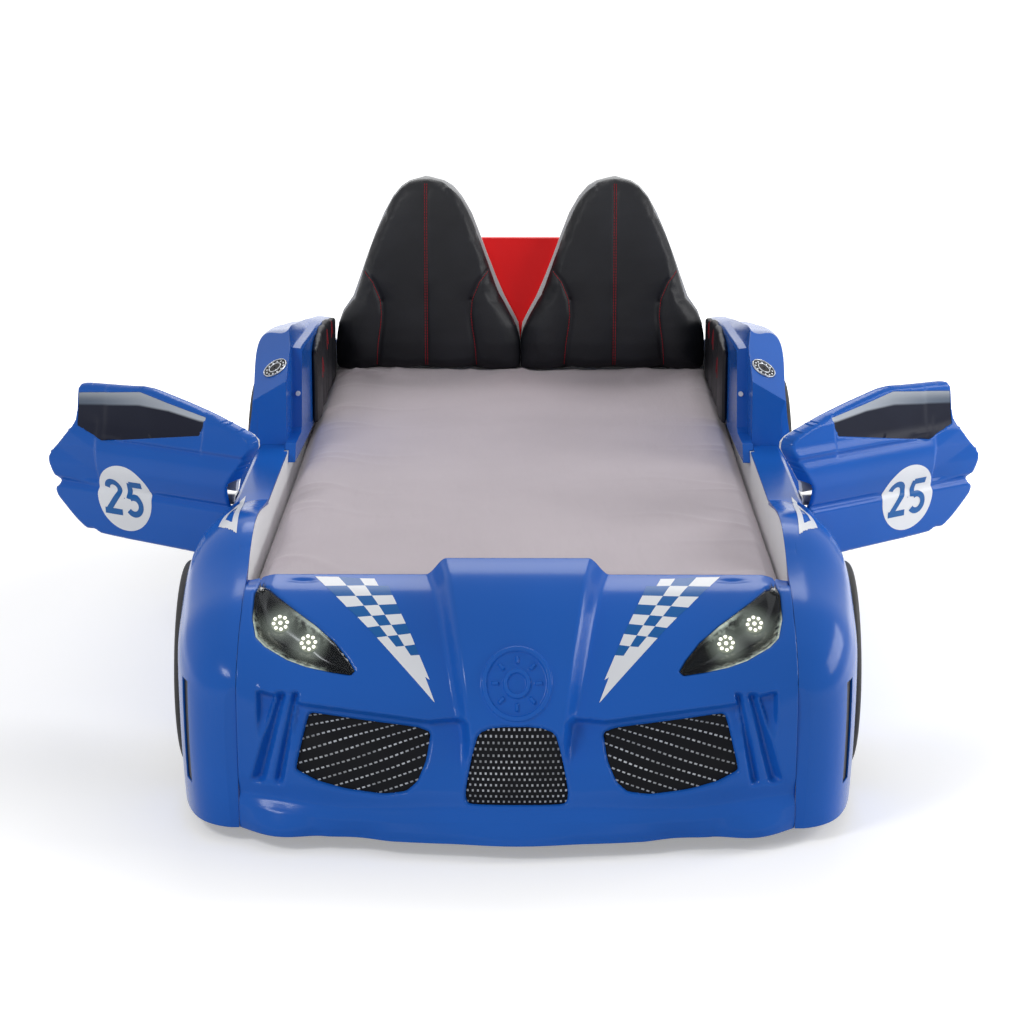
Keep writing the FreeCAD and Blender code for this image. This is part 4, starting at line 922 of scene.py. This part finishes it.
def digit_five(h):
    return [resampled([(0.56 * h, 0.91 * h), (0.14 * h, 0.91 * h)], 4.0),
            resampled([(0.155 * h, 0.94 * h), (0.10 * h, 0.50 * h)], 3.0),
            resampled(arc((0.27 * h, 0.32 * h), 0.235 * h, 122, -142, 26), 2.0)]


def make_door_decals(name, side):
    """The white roundel and its number, whose digits are strokes laid on the door's face."""
    centre = np.array([225.0, 412.0])
    inside = door_inside(name, side, *centre)
    r, turn = polar(np.linspace(1, 68.0, 30), 96)
    u, z = centre[0] + r * np.cos(turn), centre[1] + r * np.sin(turn)
    piece("door_roundel_" + name, opened(name, side, u, z, door_face(u, z, 0.4)), grid_faces(30, 97),
          "decal_white", "door_" + name, inside=inside)
    shapes, height = [], 74.0
    for digit, start in ((digit_two, -51.0), (digit_five, 4.0)):
        for k, path in enumerate(digit(height)):
            points, quads = stroke(path + (start, -height / 2), 12.4)
            u, z = (centre + points * (side, 1)).T
            shapes.append((opened(name, side, u, z, door_face(u, z, 0.75 + 0.08 * k)), quads))
    piece("door_number_" + name, *joined(shapes), "decal_blue", "door_" + name, inside=inside)


def make_window(name, side):
    """The door's window: a sheet on the door's section, its map's v counted from the silver band's foot."""
    flat, faces = trimmed_grid(np.arange(10, 350, 6.0), np.arange(516, 640, 6.0), 3.6, WINDOW)
    u, z = flat.T
    foot = np.interp(u, [35, 112, 186, 345], [590, 601, 604, 588])
    piece("door_glass_" + name, opened(name, side, u, z, door_face(u, z, -0.9)), faces, "window",
          "door_" + name, "window_tint", ["door_window_" + name],
          uv=("door", np.stack([u, z - foot], -1) * MM), inside=door_inside(name, side, 180.0, 570.0))


# ---- soft pieces

def soft_copy(node, name, finish, voxel):
    """The node's solid as a new piece, remeshed evenly for the cloth."""
    data = NODES[node].data.copy()
    made = placed(name, data)
    shape = bmesh.new()
    shape.from_mesh(data)
    bmesh.ops.remove_doubles(shape, verts=shape.verts, dist=1e-5)
    bmesh.ops.recalc_face_normals(shape, faces=shape.faces)
    shape.to_mesh(data)
    shape.free()
    remesh = made.modifiers.new("even", "REMESH")
    remesh.mode, remesh.voxel_size = "VOXEL", voxel
    applied(made)
    made.data.materials.clear()
    made.data.materials.append(FINISH[finish])
    shade_smooth(made.data)
    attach(made, BED)
    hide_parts(node)
    return made


def puffed(made, pressure, cap, frames=18):
    """Cloth under pressure without gravity; no point moves further than cap."""
    start = points_of(made)
    cloth = made.modifiers.new("cloth", "CLOTH")
    settings = cloth.settings
    settings.quality = 4
    settings.use_pressure = True
    settings.uniform_pressure_force = pressure
    settings.effector_weights.gravity = 0
    settings.tension_stiffness = settings.compression_stiffness = 25
    settings.shrink_min = -0.015
    cloth.point_cache.frame_end = frames
    scene = bpy.context.scene
    for number in range(1, frames + 1):
        scene.frame_set(number)
    applied(made)
    scene.frame_set(1)
    moved = points_of(made) - start
    length = np.linalg.norm(moved, axis=1)[:, None]
    set_points(made, start + moved * np.minimum(1, cap / np.maximum(length, 1e-9)))


def relaxed(made, turns):
    """Evens out a mesh: each pass moves points halfway to the mean of their neighbours."""
    edges = np.zeros(len(made.data.edges) * 2, int)
    made.data.edges.foreach_get("vertices", edges)
    a, b = edges.reshape(-1, 2).T
    co = points_of(made)
    count = np.bincount(np.concatenate([a, b]), minlength=len(co))[:, None]
    for _ in range(turns):
        total = np.zeros_like(co)
        np.add.at(total, a, co[b])
        np.add.at(total, b, co[a])
        co = co * 0.5 + 0.5 * total / np.maximum(count, 1)
    set_points(made, co)


SEAT_MIDDLE, SEAT_FOOT = 228.0, 431.0
SEAT_SEAM = np.array([(0, 118), (20, 117), (59, 114), (99, 108), (129, 105), (165, 108), (209, 126),
                      (238, 150)], float)


def stitches(path, away):
    """Short raised stitches along a path of points: each a low three-sided ridge."""
    gap, length, width = 0.0068, 0.0052, 0.0017
    steps = np.linalg.norm(np.diff(path, axis=0), axis=1)
    at = np.concatenate([[0], np.cumsum(steps)])
    lift = np.array(away) * width * 0.9
    shapes = []
    for start in np.arange(0, at[-1] - length, gap):
        a, b = np.array([np.interp((start, start + length), at, axis) for axis in path.T]).T
        side = np.cross((b - a) / np.linalg.norm(b - a), away)
        side = side / max(np.linalg.norm(side), 1e-6) * width / 2
        shapes.append((np.array([a - side, b - side, a + lift, b + lift, a + side, b + side]),
                       np.array([(0, 1, 3, 2), (2, 3, 5, 4)])))
    return joined(shapes)


def sewn(name, pad, rows, direction, offset):
    """Stitches along rows of points that are moved in a direction onto a pad, and held off it."""
    tree = BVHTree.FromObject(pad, bpy.context.evaluated_depsgraph_get())
    towards = Vector(direction)
    shapes = []
    for row in rows:
        hits = [tree.ray_cast(Vector(point) - towards * 0.3, towards, 0.8)[0] for point in row]
        on = np.array([tuple(hit - towards * offset) for hit in hits if hit is not None])
        if len(on) > 6:
            shapes.append(stitches(on, -np.array(direction)))
    piece(name, *joined(shapes), "thread", slot="black_leather")


def make_seats(name, side):
    """A seat-shaped pad, sunk along a middle and two curved side seams, with red stitches beside them."""
    pad = soft_copy("seat_pad_" + name, "seat_cushion_" + name, "leather", 0.005)
    puffed(pad, 3.5, 0.007)
    relaxed(pad, 2)
    middle = side * SEAT_MIDDLE
    co = points_of(pad)
    front = co[:, 1] < 1.03
    level = co[:, 2] / MM - SEAT_FOOT
    co[:, 2] -= 0.008 * (1 - smooth((level + 5) / 70))
    off = abs(co[:, 0] / MM - middle)
    near_middle = np.exp(-(off / 4.0) ** 2)
    near_side = np.exp(-((off - np.interp(level, *SEAT_SEAM.T)) / 4.5) ** 2) * (level < 238)
    co[:, 1] += front * 0.0045 * np.maximum(near_middle * 0.8, near_side)
    set_points(pad, co)
    subdivided(pad)
    rows = []
    z, low_z = np.linspace(4, 446, 140), np.linspace(4, 236, 80)
    for level, out in ((z, np.full(140, 2.6)), (low_z, np.interp(low_z, *SEAT_SEAM.T) + 3.4)):
        for turn in (-1, 1):
            row = [middle + turn * out, np.full(len(out), 950.0), SEAT_FOOT + level]
            rows.append(np.stack(row, -1) * MM)
    sewn("seat_stitches_" + name, pad, rows, (0, 1, 0), 0.0002)


def make_side_pads(name, side):
    """A quilted pad on the inner wall, with three arched rows of stitches."""
    pad = soft_copy("side_pad_" + name, "side_cushion_" + name, "leather", 0.004)
    puffed(pad, 2.5, 0.003)
    relaxed(pad, 1)
    low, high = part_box("side_pad_" + name)
    turn = np.linspace(-0.9, 0.9, 30)
    rows = []
    for share, drop in ((0.25, 0.062), (0.5, 0.024), (0.75, 0.024)):
        along = low.y + (high.y - low.y) * share + 0.020 * turn
        rows.append(np.stack([np.full(30, side * 0.40), along, high.z - drop - 0.055 * turn ** 2], -1))
    sewn("side_stitches_" + name, pad, rows, (side, 0, 0), 0.0003)


def make_mattress():
    """The mattress in its sheet: the solid puffed by cloth, then drawn into long shallow creases that run
    in from its sides and its head end, each deep * exp(-(d / width) ** 2) * exp(-(s / reach) ** 2)."""
    made = soft_copy("mattress", "mattress_in_sheet", "sheet", 0.014)
    puffed(made, 2.0, 0.005, 14)
    subdivided(made)
    co = points_of(made)
    x, y, z = co.T
    low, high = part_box("mattress")
    top = smooth((z - (high.z - 0.05)) / 0.05)
    co[:, 0] *= 1 + 0.034 * (1 - smooth((z - (high.z - 0.055)) / 0.045))
    crease = np.zeros(len(co))
    for _ in range(60):
        if rng.random() < 0.62:
            along = rng.uniform(-0.82, 1.02)
            across = rng.choice((low.x, high.x))
            turn = rng.uniform(-0.5, 0.5) + (0 if across < 0 else math.pi)
        else:
            along = high.y
            across = rng.uniform(low.x, high.x)
            turn = -math.pi / 2 + rng.uniform(-0.6, 0.6)
        run = np.array([math.cos(turn), math.sin(turn)])
        off = np.stack([x - across, y - along], -1)
        s, d = off @ run, off @ np.array([-run[1], run[0]])
        reach, width, deep = rng.uniform(0.06, 0.22), rng.uniform(0.009, 0.016), rng.uniform(0.0015, 0.0042)
        across_it = np.exp(-((d - 0.02 * np.sin(s * 25)) / width) ** 2)
        crease += deep * across_it * np.exp(-(s / reach) ** 2) * (s > -0.02)
    swell = 0.0012 * np.sin(x * 9 + 1) * np.sin(y * 5)
    co[:, 2] += top * (crease + swell - 0.0025 + 0.007 * smooth((y - 0.86) / 0.12))
    set_points(made, co)


# ---- finishes of the kept nodes

DRESSES = {"board": "side_board foot_board head_board seat_board", "red": "red_back_panel",
           "timber": "slat_rail centre_beam bed_slats centre_legs",
           "body": "front_fender rear_fender sill_cover",
           "black": "leg_glides board_feet vent_mesh", "white": "light_driver door_panel",
           "steel": "hinge_bracket hinge_leaf hinge_screws", "rubber": "door_buffers", "tyre": "tyre",
           "silver": "rim hub_caps"}


def dress_nodes():
    for name, node in NODES.items():
        for finish, starts in DRESSES.items():
            if name.startswith(tuple(starts.split())):
                node.data.materials.clear()
                node.data.materials.append(FINISH[finish])
        shade_smooth(node.data)


# ---- stage, light and camera

def make_stage():
    """A pale floor that looks white away from the bed, a world that looks white, and three lamps."""
    finish = Finish("pale_floor")
    x, y, z = finish.split(finish.point)
    away = (x * x + y * y) ** 0.5
    shown = finish.background_rays() * (0.32 + 0.68 * away.ramp(1.2, 2.4))
    finish.set(Base_Color=finish.blend(finish.noise(2.0), (0.90, 0.90, 0.90), (0.92, 0.92, 0.92)),
               Roughness=0.8 + 0.05 * finish.noise(8.0), Specular_IOR_Level=0.0, Emission_Strength=1.0,
               Emission_Color=finish.blend(shown, (0.0, 0.0, 0.0), (1.0, 1.0, 1.0)))
    data = bpy.data.meshes.new("floor")
    data.from_pydata([(-30, -12, 0), (30, -12, 0), (30, 30, 0), (-30, 30, 0)], [], [(0, 1, 2, 3)])
    data.materials.append(finish.material)
    floor = placed("floor", data)
    world = bpy.data.worlds.new("studio")
    bpy.context.scene.world = world
    world.use_nodes = True
    sky = Nodes(world.node_tree)
    colour, strength = sky.tree.nodes["Background"].inputs[:2]
    sky.plug(colour, (1, 1, 1))
    shown = sky.node("ShaderNodeMix", {"data_type": "FLOAT"}, sky.background_rays(), None, 0.42, 1.0)
    sky.plug(strength, shown)
    for name, place, target, size, power in (("key", (-2.2, -3.2, 3.0), (0, -0.4, 0.3), (1.0, 0.8), 46),
                                             ("side", (3.1, -0.4, 1.5), (0.2, -0.4, 0.4), (2.0, 1.1), 46),
                                             ("top", (0.2, 2.7, 3.6), (0, 0.2, 0.3), (3.0, 1.6), 60)):
        lamp = bpy.data.lights.new(name, "AREA")
        lamp.shape = "RECTANGLE"
        lamp.size, lamp.size_y = size
        lamp.energy = power
        made = placed(name, lamp)
        made.location = place
        made.rotation_euler = (Vector(target) - Vector(place)).to_track_quat("-Z", "Y").to_euler()


def make_camera():
    data = bpy.data.cameras.new("photo_camera")
    data.lens, data.sensor_width = 92.43, 36.0
    data.clip_end = 200
    made = placed("photo_camera", data)
    made.location = (0.016, -5.298, 1.693)
    made.rotation_euler = (math.radians(90 - 14.51), 0, math.radians(0.33))
    bpy.context.scene.camera = made


make_camera()
make_stage()
dress_nodes()
make_fascia()
make_grille("left", SIDE_MOUTH * (-1, 1), 0.45)
make_grille("right", SIDE_MOUTH, -0.45)
make_grille("middle", MIDDLE_MOUTH, 0.0)
make_bonnet_badge()
make_mattress()
for side_name, side_sign in SIDES:
    for make in (make_headlights, make_checks, make_fender_signs, make_fender_badges, make_door_skin,
                 make_door_decals, make_window, make_seats, make_side_pads):
        make(side_name, side_sign)

scene = bpy.context.scene
scene.view_settings.view_transform = "Standard"
bpy.context.view_layer.update()
